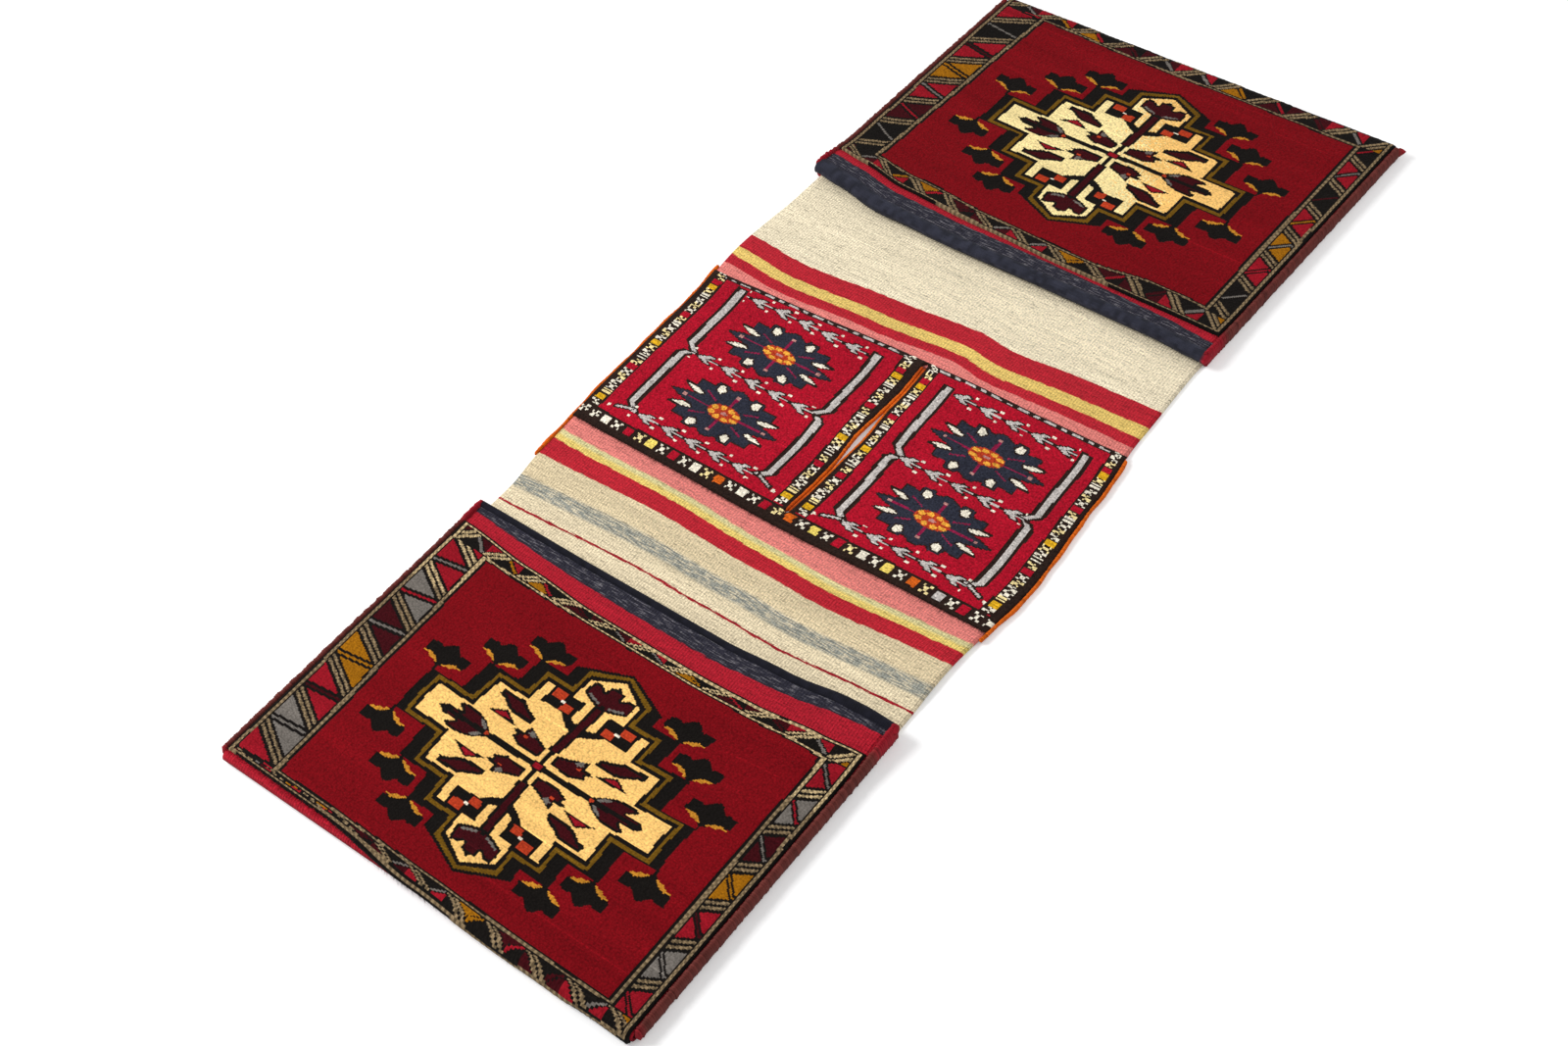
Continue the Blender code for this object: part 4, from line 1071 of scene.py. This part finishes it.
def make_ground_cloth():
    """The folded sheet: two grids that part along the slit."""
    near_end, far_end = (FOLD_Y + FOLD_ARC + FACE_LENGTH[end] for end in ("near", "far"))
    bridge = np.linspace(-CLOTH_SPLIT, CLOTH_SPLIT, 129)[1:-1]
    bridge = np.unique(np.concatenate([bridge, [SLIT_START, SLIT_END]]))
    s = np.concatenate([-end_rows(near_end)[::-1], bridge, end_rows(far_end)])
    half_open = np.where(slit_half(s) > 0, slit_half(s) + SLIT_EDGE, 0.0)
    middle = np.clip(slit_middle(s), SLIT_X_START - 6, SLIT_X_END + 6)
    share = np.linspace(0, 1, 46)[:, None]
    left = -HALF_CLOTH + (middle - half_open + HALF_CLOTH) * share
    right = middle + half_open + (HALF_CLOTH - middle - half_open) * share
    points, faces, uvs, stripes = [], [], [], []
    for x in (left, right):
        along = np.broadcast_to(s, x.shape)
        faces.append(grid_faces(*x.shape)[:, ::-1] + x.size * len(points))
        points.append(folded(x, along, 0.0).reshape(-1, 3))
        uvs.append(np.stack([x, along], axis=-1).reshape(-1, 2) * MM)
        stripes.append(stripe_place(x, along).ravel() * MM)
    uv = np.concatenate(uvs)
    obj = mesh_object("ground_cloth", np.concatenate(points), [np.concatenate(faces)], KILIM, uv=uv)
    layer = obj.data.uv_layers.new(name="stripe")
    corners = np.empty(len(obj.data.loops), np.int32)
    obj.data.loops.foreach_get("vertex_index", corners)
    stripe_uv = np.column_stack([uv[:, 0], np.concatenate(stripes)])
    layer.data.foreach_set("uv", stripe_uv[corners].astype(np.float32).ravel())
    weld = obj.modifiers.new("Join", "WELD")
    weld.merge_threshold = 0.00002
    thick = obj.modifiers.new("Thickness", "SOLIDIFY")
    thick.thickness = CLOTH * MM
    thick.offset = 0.0
    return worn(obj, "woven_strip", "before its thickness")


cloth = make_ground_cloth()

# %% [markdown]
# ## The pile
# Each panel of pile is a grid of small faces, half a knot wide and two thirds of a knot high, so
# that a slanted edge of colour climbs in fine steps. Its height falls off at the panel's edges,
# where the tufts lean out, and the dark wools lie lower, as they do on old bags. A coarser grid
# under it closes each panel.

# %% Each knot's colour and height
UNDER_STEP = 8
UNDER_WOOL = "9C8A6A"
# Taupe is two wools in a chequer of single knots: how dark and how light they are
BEADS = (0.62, 1.25)
LEAST_SHADE, MOST_SHADE = 0.5, 1.6


def panel_columns(width):
    """How many points across, so that the coarse underside divides them."""
    return round((width / GRID_WIDE + 4) / UNDER_STEP) * UNDER_STEP - 3


def slow_noise(shape, cells, seed):
    """Smooth random values between -1 and 1: a coarse random grid, eased up to the full size."""
    rng = np.random.default_rng(seed)
    coarse = rng.uniform(-1, 1, (cells[0] + 1, cells[1] + 1))
    rows = np.linspace(0, cells[0], shape[0])
    columns = np.linspace(0, cells[1], shape[1])
    r0 = np.minimum(rows.astype(int), cells[0] - 1)
    c0 = np.minimum(columns.astype(int), cells[1] - 1)
    fr, fc = smooth(rows - r0)[:, None], smooth(columns - c0)[None, :]
    top = coarse[r0][:, c0] * (1 - fc) + coarse[r0][:, c0 + 1] * fc
    low = coarse[r0 + 1][:, c0] * (1 - fc) + coarse[r0 + 1][:, c0 + 1] * fc
    return top * (1 - fr) + low * fr


def knot_colours(ink, seed, mottle, streak):
    """Each knot's colour: its yarn, a little lighter or darker by knot and by row.

    Rows dyed in different baths (abrash) give the long streaks: each row has its own shade, which
    fades in and out across it.
    """
    rng = np.random.default_rng(seed)
    rows, columns = ink.shape
    value = rng.normal(1.0, mottle, ink.shape)
    row_shade = np.convolve(rng.normal(0, 1, rows + 4), np.ones(5) / 5, "valid")
    reach = 0.5 + 0.5 * slow_noise(ink.shape, (rows // 5, 5), seed + 1)
    value *= 1 + streak * row_shade[:, None] * reach
    flash = rng.uniform(0, 1, rows) > 0.96
    bright = flash[:, None] * (slow_noise(ink.shape, (rows, 6), seed + 4) > 0.45)
    value *= 1 + 2.2 * streak * bright
    value *= 1 + 0.07 * slow_noise(ink.shape, (7, 7), seed + 2)
    row, column = np.indices(ink.shape) // 2
    taupe = (ink == yarn("taupe")) | (ink == yarn("pale_taupe"))
    value *= np.where(taupe, np.where((row + column) % 2, BEADS[0], BEADS[1]), 1.0)
    return YARN_RGB[ink] * np.clip(value, LEAST_SHADE, MOST_SHADE)[..., None]


def tuft_tips(ink, height, seed):
    """The pile's height at each grid point: dark wools worn lower, and a little scatter."""
    dark = np.isin(ink, numbered(("black", "brown", "wine"))).astype(float)
    rows, columns = ink.shape[0] + 1, ink.shape[1] + 1
    low = np.zeros((rows, columns))
    count = np.zeros((rows, columns))
    for dr in (0, 1):
        for dc in (0, 1):
            low[dr : rows - 1 + dr, dc : columns - 1 + dc] += dark
            count[dr : rows - 1 + dr, dc : columns - 1 + dc] += 1
    scatter = np.random.default_rng(seed).normal(0, 0.14, (rows, columns))
    tip = height - 0.6 * low / count + scatter
    return tip + 0.35 * slow_noise((rows, columns), (14, 14), seed + 3)


# %% A panel of knots
def pile_panel(name, across, along, edge_offset, ink, height, side, material, seed, mottle, streak):
    """A closed panel of knots.

    across, along: flat places of the grid's points. edge_offset: how far the tufts lean out at
    the edges. side is -1 where the pile is on the strip's underside, which is the face's outside.
    Two more rings of points run round the grid, leaning out and down to the cloth. The panel's
    own underside is just inside the cloth, with every UNDER_STEP-th column of the upper grid, so
    that it follows the cloth wherever the cloth curves.
    """
    wide_rows, wide_columns = across.shape[0] + 4, across.shape[1] + 4
    lift = np.ones((wide_rows, wide_columns))
    ring_out = np.zeros_like(lift)
    for edge, share, out in ((0, 0.0, 0.3), (1, 0.55, 1.0)):
        for line in (edge, -1 - edge):
            for rim in (np.s_[line, :], np.s_[:, line]):
                lift[rim] = np.minimum(lift[rim], share)
                ring_out[rim] = out
    sign_x, sign_s = np.zeros_like(lift), np.zeros_like(lift)
    sign_x[:, :2], sign_x[:, -2:] = -1, 1
    sign_s[:2, :], sign_s[-2:, :] = -1, 1
    direction = np.sign(along[-1, 0] - along[0, 0])
    x = np.pad(across, 2, mode="edge") + sign_x * ring_out * edge_offset
    s = np.pad(along, 2, mode="edge") + sign_s * ring_out * edge_offset * direction
    up = np.pad(tuft_tips(ink, height, seed), 2, mode="edge") * lift
    up = np.where(lift == 0, -0.3, up)
    inner = np.s_[1:-1, UNDER_STEP:-1:UNDER_STEP]
    top = folded(x, s, side * (CLOTH / 2 + up))
    below = folded(x[inner], s[inner], side * (CLOTH / 2 - 0.5))

    index = np.arange(x.size).reshape(x.shape)
    coarse = index[:, ::UNDER_STEP].copy()
    coarse[1:-1, 1:-1] = x.size + np.arange(x[inner].size).reshape(x[inner].shape)
    turned = coarse[1:-1, ::-1]
    quads = [turned[:-1, :-1], turned[:-1, 1:], turned[1:, 1:], turned[1:, :-1]]
    reach = np.arange(UNDER_STEP + 1)
    cells = np.arange(coarse.shape[1] - 1)[:, None] * UNDER_STEP
    first = [index[0][cells + reach[::-1]], coarse[1, :-1], coarse[1, 1:]]
    last = [index[-1][cells + reach], coarse[-2, 1:], coarse[-2, :-1]]
    faces = [grid_faces(*x.shape), np.stack(quads, axis=-1).reshape(-1, 4)]
    faces += [np.column_stack(first), np.column_stack(last)]
    if side * direction < 0:
        faces = [f[:, ::-1] for f in faces]
    colours = knot_colours(ink, seed, mottle, streak)
    colours = np.pad(colours, ((2, 2), (2, 2), (0, 0)), mode="edge").reshape(-1, 3)
    under = np.tile(linear(UNDER_WOOL), (sum(len(f) for f in faces[1:]), 1))
    flat = np.stack([x, s], axis=-1)
    uv = np.concatenate([flat.reshape(-1, 2), flat[inner].reshape(-1, 2)]) * MM
    points = np.concatenate([top.reshape(-1, 3), below.reshape(-1, 3)])
    obj = mesh_object(name, points, faces, material, uv=uv, colours=np.concatenate([colours, under]))
    return worn(obj, "woven_strip", f"{ink.shape[0]} x {ink.shape[1]} squares")


# %% [markdown]
# The pouch faces have about 160 by 155 knots. The pile of the far pouch starts under the bottom
# fold. On the near pouch it stops at the fold, and the crimson cloth shows at the left. It runs
# up the face and ends at the plain hem, whose line slopes a little.

# %% The two pouch faces
PLAIN_EDGE = {
    "near": ((-250, 27.5), (-150, 35.0), (-60, 41.0), (100, 42.0), (200, 40.0), (250, 37.0)),
    "far": ((-250, 36.0), (-150, 35.0), (-45, 31.5), (60, 27.0), (170, 27.0), (250, 30.0)),
}
PLAIN_LEAST = 30


def middles(grid):
    """The middle of each square of a grid."""
    return (grid[:-1, :-1] + grid[1:, 1:]) / 2


def make_face(end, sign, seed):
    """The pile of a pouch's face: its places on the strip, its drawing and its panel."""
    fold = FOLD_Y + FOLD_ARC
    rows = round((FACE_LENGTH[end] - PLAIN_LEAST) / GRID_HIGH)
    x = np.linspace(-PILE_HALF, PILE_HALF, panel_columns(2 * PILE_HALF))
    stop = fold + FACE_LENGTH[end] - eased(PLAIN_EDGE[end], x)
    start = fold - eased(FOLD_PILE[end], x)
    along = start + (stop - start) * np.linspace(0, 1, rows + 1)[:, None]
    across = np.broadcast_to(x, along.shape)
    mid_x, mid_d = middles(across), middles(along) - fold
    wobble_x, wobble_d = (1.1 * slow_noise(mid_x.shape, (6, 6), seed + k) for k in (5, 6))
    edge_d = np.broadcast_to((stop[:-1] + stop[1:]) / 2 - fold, mid_d.shape)
    ink = face_ink(mid_x + wobble_x, mid_d + wobble_d, edge_d, end)
    return pile_panel(
        f"{end}_face_pile", across, sign * along, 1.0, ink, PILE, -1, FACE_WOOL, seed, 0.10, 0.16
    )


near_face = make_face("near", -1, 21)
far_face = make_face("far", 1, 41)

# %% [markdown]
# The blocks' pile is longer and coarser, so its knots stand out more. Beside the slit, a block's
# edge follows the opening.

# %% The two blocks
BLOCK_NEAR = ((-250, -142), (0, -143.5), (250, -138))
BLOCK_FAR = ((-250, 105), (-160, 108), (10, 115), (250, 117))
BLOCK_START, BLOCK_LENGTH = -141.0, 252.0
SLIT_MARGIN = 3.6


def make_block(side, seed):
    """The pile of a block, whose inner edge follows the slit."""
    share = np.linspace(0, 1, round(BLOCK_LENGTH / GRID_HIGH) + 1)[:, None]
    nominal = BLOCK_START + BLOCK_LENGTH * share
    past_end = smooth((SLIT_START + 2 - nominal) / 4) + smooth((nominal - SLIT_END + 2) / 4)
    gap = (np.maximum(slit_half(nominal), 0.2) + SLIT_MARGIN) * (1 - past_end) - 0.6 * past_end
    if side == "left":
        low, high = np.full_like(nominal, -HALF_CLOTH + 0.5), slit_middle(nominal) - gap
    else:
        low, high = slit_middle(nominal) + gap, np.full_like(nominal, HALF_CLOTH - 0.5)
    columns = panel_columns(float((high - low).mean()))
    across = low + (high - low) * np.linspace(0, 1, columns)[None, :]
    near, far = eased(BLOCK_NEAR, across), eased(BLOCK_FAR, across)
    along = near + (far - near) * share
    mid_x, mid_s = middles(across), middles(along)
    edge = np.minimum(mid_x - (low[:-1] + low[1:]) / 2, (high[:-1] + high[1:]) / 2 - mid_x)
    wobble = 0.8 * slow_noise(mid_x.shape, (5, 5), seed + 5)
    ink = block_ink(mid_x + wobble, mid_s + wobble[::-1], side, edge, middles(far))
    return pile_panel(
        f"{side}_block_pile", across, along, 1.5, ink, BLOCK_PILE, 1, BLOCK_WOOL, seed, 0.17, 0.10
    )


left_block = make_block("left", 61)
right_block = make_block("right", 81)

# %% [markdown]
# ## Overcast edges
# The pouches' sides are sewn shut with maroon yarn that goes round and round the two edges, and
# the bridge's edges and the slit are bound the same way in orange. A wrapped edge is a closed
# tube around a path, whose radius swells once for each turn of the yarn, with the swelling slanted
# so that the turns wind forward.

# %% A wrapped edge
AROUND = 14
STEPS_A_TURN = 5
OVAL = 2.6


def wrapped_edge(
    name, path, wide, high, pitch, colours, seed, replaced,
    swell=0.12, swing=0.0, uneven_and_groove_shade=0.13, streak=0.0,
):
    """A tube of yarn turns.

    path: points (n, 3) in mm along the middle. wide, high: its section's size at each point. The
    section is a rounded oval, r = (cos^p + sin^p)^(-1/p) with OVAL as p, and each turn swells it
    by a rounded sine of the length along the path plus the angle.
    """
    rng = np.random.default_rng(seed)
    path = np.asarray(path, float)
    steps = np.concatenate([[0], np.cumsum(np.linalg.norm(np.diff(path, axis=0), axis=1))])
    count = max(int(steps[-1] / pitch * STEPS_A_TURN), 12)
    length = np.linspace(0, steps[-1], count)
    centre = np.column_stack([np.interp(length, steps, path[:, k]) for k in range(3)])
    width = np.interp(length, steps, np.broadcast_to(wide, steps.shape))
    height = np.interp(length, steps, np.broadcast_to(high, steps.shape))
    ahead = np.gradient(centre, axis=0)
    ahead /= np.linalg.norm(ahead, axis=1, keepdims=True)
    sideways = np.cross(ahead, (0, 0, 1.0))
    sideways /= np.linalg.norm(sideways, axis=1, keepdims=True)
    upward = np.cross(sideways, ahead)
    angle = np.linspace(0, 2 * math.pi, AROUND, endpoint=False)[None, :]
    turns = length[:, None] / pitch + angle / (2 * math.pi)
    wrap = np.floor(turns).astype(int)
    loose = rng.normal(0, 0.38 * uneven_and_groove_shade, int(turns.max()) + 2)[wrap]
    ridge = np.abs(np.sin(math.pi * turns)) ** 0.6
    radius = (np.abs(np.cos(angle)) ** OVAL + np.abs(np.sin(angle)) ** OVAL) ** (-1 / OVAL)
    radius = radius * (1 - swell + swell * ridge + loose)
    taper = np.minimum(1, 0.35 + np.minimum(length, length[-1] - length) / (1.5 * pitch))[:, None]
    offset_x = radius * np.cos(angle) * width[:, None] / 2 * taper
    offset_z = radius * np.sin(angle) * height[:, None] / 2 * taper
    swing_by = swing * np.interp(length, np.linspace(0, length[-1], 9), rng.uniform(-1, 1, 9))
    points = centre[:, None] + sideways[:, None] * (offset_x + swing_by[:, None])[..., None]
    points = points + upward[:, None] * offset_z[..., None]
    faces = grid_faces(count, AROUND, wrap=True)
    caps = [np.arange(AROUND)[None, ::-1], ((count - 1) * AROUND + np.arange(AROUND))[None]]
    if np.linalg.det(np.stack([sideways[0], upward[0], ahead[0]])) < 0:
        faces, caps = faces[:, ::-1], [caps[0][:, ::-1], caps[1][:, ::-1]]
    share = length / length[-1]
    base = np.array([linear(c) for _, c in colours])
    spots = np.array([spot for spot, _ in colours])
    tone = np.column_stack([np.interp(share, spots, base[:, k]) for k in range(3)])
    # Each turn has its own random tone, and the grooves between turns are painted darker as shade.
    shade = rng.normal(1, uneven_and_groove_shade, int(turns.max()) + 2)[wrap] * (1 - 3 * uneven_and_groove_shade * (1 - ridge))
    shade = shade * (1 + streak * slow_noise(shape=shade.shape, cells=(count // 12, 10), seed=seed))
    tone = (tone[:, None] * shade[..., None])[:-1].reshape(-1, 3)
    ends = np.stack([tone[0], tone[-1]])
    colours = np.concatenate([tone, ends])
    obj = mesh_object(name, points.reshape(-1, 3) * MM, [faces, *caps], OVERCAST_WOOL, colours=colours)
    return worn(obj, replaced, f"{int(steps[-1] / pitch)} turns")


def side_path(side, places, out, z):
    """Points beside the cloth's edge, 'out' mm from it, at heights z."""
    places = np.asarray(places, float)
    middle, wider = wander(places)
    x = middle + side * (HALF_CLOTH + wider + out)
    return np.column_stack([x, places, np.broadcast_to(z, places.shape)])


# %% Seams and bindings
MAROON, CRIMSON_YARN = "68302B", "961826"
SEAM_COLOURS = (
    (0.0, CRIMSON_YARN), (0.07, CRIMSON_YARN), (0.11, MAROON), (0.97, MAROON), (1.0, CRIMSON_YARN),
)
POUCH_HIGH = 16.6
for end, sign in (("near", -1), ("far", 1)):
    for side, side_name in ((-1, "left"), (1, "right")):
        mouth = float(eased(MOUTH[end], np.array(side * HALF_CLOTH)))
        places = sign * np.linspace(mouth, FOLD_Y + 2, 60)
        lift = float(eased(RISE[end], np.array(side * HALF_CLOTH)))
        run = np.abs(places) - mouth
        top = POUCH_HIGH + lift * smooth(1 - run / RISE_LENGTH)
        path = side_path(side, places, 2.4, top / 2)
        wide = np.full(len(path), 7.0)
        if (end, side_name) == ("far", "right"):
            path = np.concatenate([path, path[-1] + ((3.0, 4.0, 0.5), (8.5, 6.5, 1.5))])
            wide, top = np.append(wide, (6.0, 2.5)), np.append(top, (10.0, 3.0))
        wrapped_edge(
            f"{end}_{side_name}_seam_wraps", path, wide, top, 2.3, SEAM_COLOURS,
            101 + 7 * len(end) + side, f"{end}_{side_name}_seam",
        )

ORANGE_YARN, DEEP_ORANGE = "DB6412", "B4450C"
for side, side_name, start, stop in ((-1, "left", -205, 115), (1, "right", -150, 115)):
    places = np.linspace(start, stop, 60)
    thick = 3.6 + 1.0 * np.sin(places / 23.0) * np.sin(places / 9.0)
    path = side_path(side, places, 0.3 + thick / 2, 2.6 + ripple(side * HALF_CLOTH, places))
    wrapped_edge(
        f"bridge_{side_name}_binding_wraps", path, thick, 5.2, 1.6,
        ((0.0, ORANGE_YARN), (1.0, ORANGE_YARN)), 140 + side, f"bridge_{side_name}_binding",
    )
for side, side_name in ((-1, "left"), (1, "right")):
    places = np.linspace(SLIT_START + 1.5, SLIT_END - 1.5, 60)
    thick = 3.5 + 0.7 * np.sin(places / 11.0 + side) * np.sin(places / 4.7)
    x = slit_middle(places) + side * (slit_half(places) + thick / 2)
    path = folded(x, places, 1.9) / MM
    wrapped_edge(
        f"slit_{side_name}_binding_wraps", path, thick, 5.0, 1.5,
        ((0.0, DEEP_ORANGE), (0.2, ORANGE_YARN), (0.85, ORANGE_YARN), (1.0, DEEP_ORANGE)), 150 + side,
        f"slit_{side_name}_binding", swell=0.2, swing=0.35,
    )

# %% [markdown]
# The hems at the mouths are rolled, so a thick turn of dark wool stands along each. It is thicker
# towards one side, where the roll curls, and its very end shows the crimson inside.

# %% Rolled hems
ROLL = {
    "near": ((-250, 7.5), (-100, 7.5), (60, 8.0), (140, 10.0), (215, 14.0), (250, 12.0)),
    "far": ((-250, 13.0), (-190, 13.0), (-90, 11.0), (60, 11.0), (250, 11.0)),
}
NAVY_ROLL = {"near": "13131C", "far": "292A35"}
for end, sign in (("near", -1), ("far", 1)):
    x = np.linspace(-HALF_CLOTH - 4, HALF_CLOTH + 7, 90)
    thick = eased(ROLL[end], x)
    hem = sign * (FOLD_Y + FOLD_ARC + FACE_LENGTH[end])
    path = folded(x, hem, thick / 2 - 3.8) / MM
    wrapped_edge(
        f"{end}_rolled_hem", path, thick * (1.0 if end == "near" else 1.5), thick, 2.2,
        ((0.0, NAVY_ROLL[end]), (0.985, NAVY_ROLL[end]), (0.992, CRIMSON_YARN), (1.0, CRIMSON_YARN)),
        170 + sign, "woven_strip", swell=0.03, uneven_and_groove_shade=0.02, streak=0.45,
    )

# %% [markdown]
# ## Loose fibres
# Old wool is hairy. Fine fibres stand out along the pile's edges, each a thin closed pyramid on a
# triangle, leaning the way the pile leans.

# %% Fuzz
FIBRE_RADIUS = 0.00022
LEAST_HEIGHT = 0.0004


def make_fuzz(name, x, s, up, out, longest, wools, seed):
    """Loose fibres at flat places, each a random length along 'out', which is across, along, up."""
    rng = np.random.default_rng(seed)
    count = len(x)
    length = longest * rng.uniform(0.25, 1.0, count) ** 1.5
    lean = rng.normal(0, 0.45, (3, count)) * ((1,), (1,), (0.6,))
    root = folded(x, s, up)
    tip = folded(*(at + (along + way) * length for at, along, way in zip((x, s, up), out, lean)))
    tip[:, 2] = np.maximum(tip[:, 2], LEAST_HEIGHT)
    ahead = tip - root
    ahead /= np.linalg.norm(ahead, axis=1, keepdims=True)
    first = np.cross(ahead, (0.31, 0.52, 0.79))
    first /= np.linalg.norm(first, axis=1, keepdims=True)
    second = np.cross(ahead, first)
    turns = np.arange(3) * 2 * math.pi / 3
    ring = np.cos(turns)[:, None] * first[:, None] + np.sin(turns)[:, None] * second[:, None]
    base = root[:, None] + FIBRE_RADIUS * ring
    points = np.concatenate([base, tip[:, None]], axis=1).reshape(-1, 3)
    corners = np.array(((0, 2, 1), (0, 1, 3), (1, 2, 3), (2, 0, 3)))
    faces = (4 * np.arange(count)[:, None, None] + corners).reshape(-1, 3)
    shade = rng.uniform(0.7, 1.7, (count, 1))
    colours = np.repeat(YARN_RGB[wools] * shade, 4, axis=0)
    obj = mesh_object(name, points, [faces], OVERCAST_WOOL, colours=colours)
    worn(obj, "woven_strip", f"{count} fibres")


rng = np.random.default_rng(5)
for name, count, table, inset, deep, out, longest, seed in (
    ("block_near_fuzz", 3000, BLOCK_NEAR, 0.8, 3.0, (0.0, -1.0, 0.0), 5.5, 201),
    ("block_far_fuzz", 900, BLOCK_FAR, -0.8, 2.5, (0.0, 1.0, 0.1), 3.5, 202),
):
    x = rng.uniform(-HALF_CLOTH, HALF_CLOTH, count)
    up = 1.6 + rng.uniform(0, deep, count)
    brown = np.full(count, yarn("brown"))
    make_fuzz(name, x, eased(table, x) + inset, up, out, longest, brown, seed)
for end, sign in (("near", -1), ("far", 1)):
    count = 2600
    x = rng.uniform(-PILE_HALF, PILE_HALF, count)
    dark = rng.uniform(0, 1, count) < smooth((x + 120) / 120)
    s = sign * (FOLD_Y + FOLD_ARC - eased(FOLD_PILE[end], x) + rng.uniform(0, 1.5, count))
    up = -1.6 - rng.uniform(0, 3, count)
    wools = np.where(dark, yarn("brown"), yarn("crimson"))
    make_fuzz(f"{end}_fold_fuzz", x, s, up, (0.0, -sign, -0.2), 5.0, wools, 203)

# %% [markdown]
# ## Floor, light and camera
# A plain floor, a large soft lamp on the left and an even sky keep each colour about as it is
# written. The floor turns white for the camera and still takes the bag's shadow.

# %% Floor and sky
FLOOR_HALF = 6.0


def make_floor():
    """A large plain floor, just under the bag."""
    corners = FLOOR_HALF * np.array(((-1, -1, 0), (1, -1, 0), (1, 1, 0), (-1, 1, 0)))
    floor = new_material("pale_studio_floor")
    tree = floor.node_tree
    ray = node(tree, "LightPath", output="Is Camera Ray")
    surface = {
        "Base_Color": (0.86, 0.86, 0.86, 1), "Roughness": 0.9, "Specular_IOR_Level": 0.1,
        "Emission_Color": (1, 1, 1, 1), "Emission_Strength": node(tree, "Math", TIMES, in0=ray, in1=0.22),
    }
    connect(tree, tree.nodes["Principled BSDF"], surface)
    obj = mesh_object("studio_floor", corners, [np.array([[0, 1, 2, 3]])], floor, smooth_faces=False)
    obj.location.z = -0.0004
    obj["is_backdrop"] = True


make_floor()
world = bpy.data.worlds.new("studio_sky")
bpy.context.scene.world = world
world.use_nodes = True
# The sky lights at half strength, and 0.5 is added for each kind of ray that sees it.
strength = 0.5
for kind in ("Is Camera Ray", "Is Glossy Ray", "Is Transmission Ray"):
    ray = node(world.node_tree, "LightPath", output=kind)
    adds = {"operation": "MULTIPLY_ADD"}
    strength = node(world.node_tree, "Math", adds, in0=ray, in1=0.5, in2=strength)
background = world.node_tree.nodes["Background"]
connect(world.node_tree, background, {"Color": (1, 1, 1, 1), "Strength": strength})


def lamp(name, spot, size, watts):
    """A square soft lamp that faces the bag's middle."""
    light = bpy.data.lights.new(name, "AREA")
    light.size = size
    light.energy = watts
    obj = bpy.data.objects.new(name, light)
    COLLECTION.objects.link(obj)
    obj.location = spot
    dx, dy, dz = -np.array(spot)
    tilt = math.atan2(math.hypot(dx, dy), -dz)
    obj.rotation_euler = (tilt, 0, math.atan2(dx, -dy) + math.pi)
    print(name, watts, "W")


lamp("key_lamp", (-2.2, -1.2, 2.4), 1.4, 95)
lamp("fill_lamp", (1.8, 1.8, 2.6), 2.0, 30)

# %% Camera
camera = bpy.data.cameras.new("camera")
camera.lens = 52.58
camera.sensor_width = 36.0
view = bpy.data.objects.new("camera", camera)
COLLECTION.objects.link(view)
right = (0.7884638, 0.60826583, -0.09130998)
upward = (-0.4223836, 0.6433622, 0.63849603)
backward = (0.44712071, -0.46486317, 0.76418931)
turn = Matrix((right, upward, backward)).transposed().to_4x4()
view.matrix_world = Matrix.Translation((1.02784, -1.18746, 1.73135)) @ turn
bpy.context.scene.camera = view
bpy.context.scene.view_settings.view_transform = "Standard"
print("Camera lens:", camera.lens, "mm")

# %% [markdown]
# ## The two boxes
# The two boxes, before and after dressing, are kept to compare.

# %% Finish
DRESSED_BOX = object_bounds()
boxes = {"cad": CAD_BOX, "dressed": DRESSED_BOX}
{name: [[float(v) for v in corner] for corner in box] for name, box in boxes.items()}
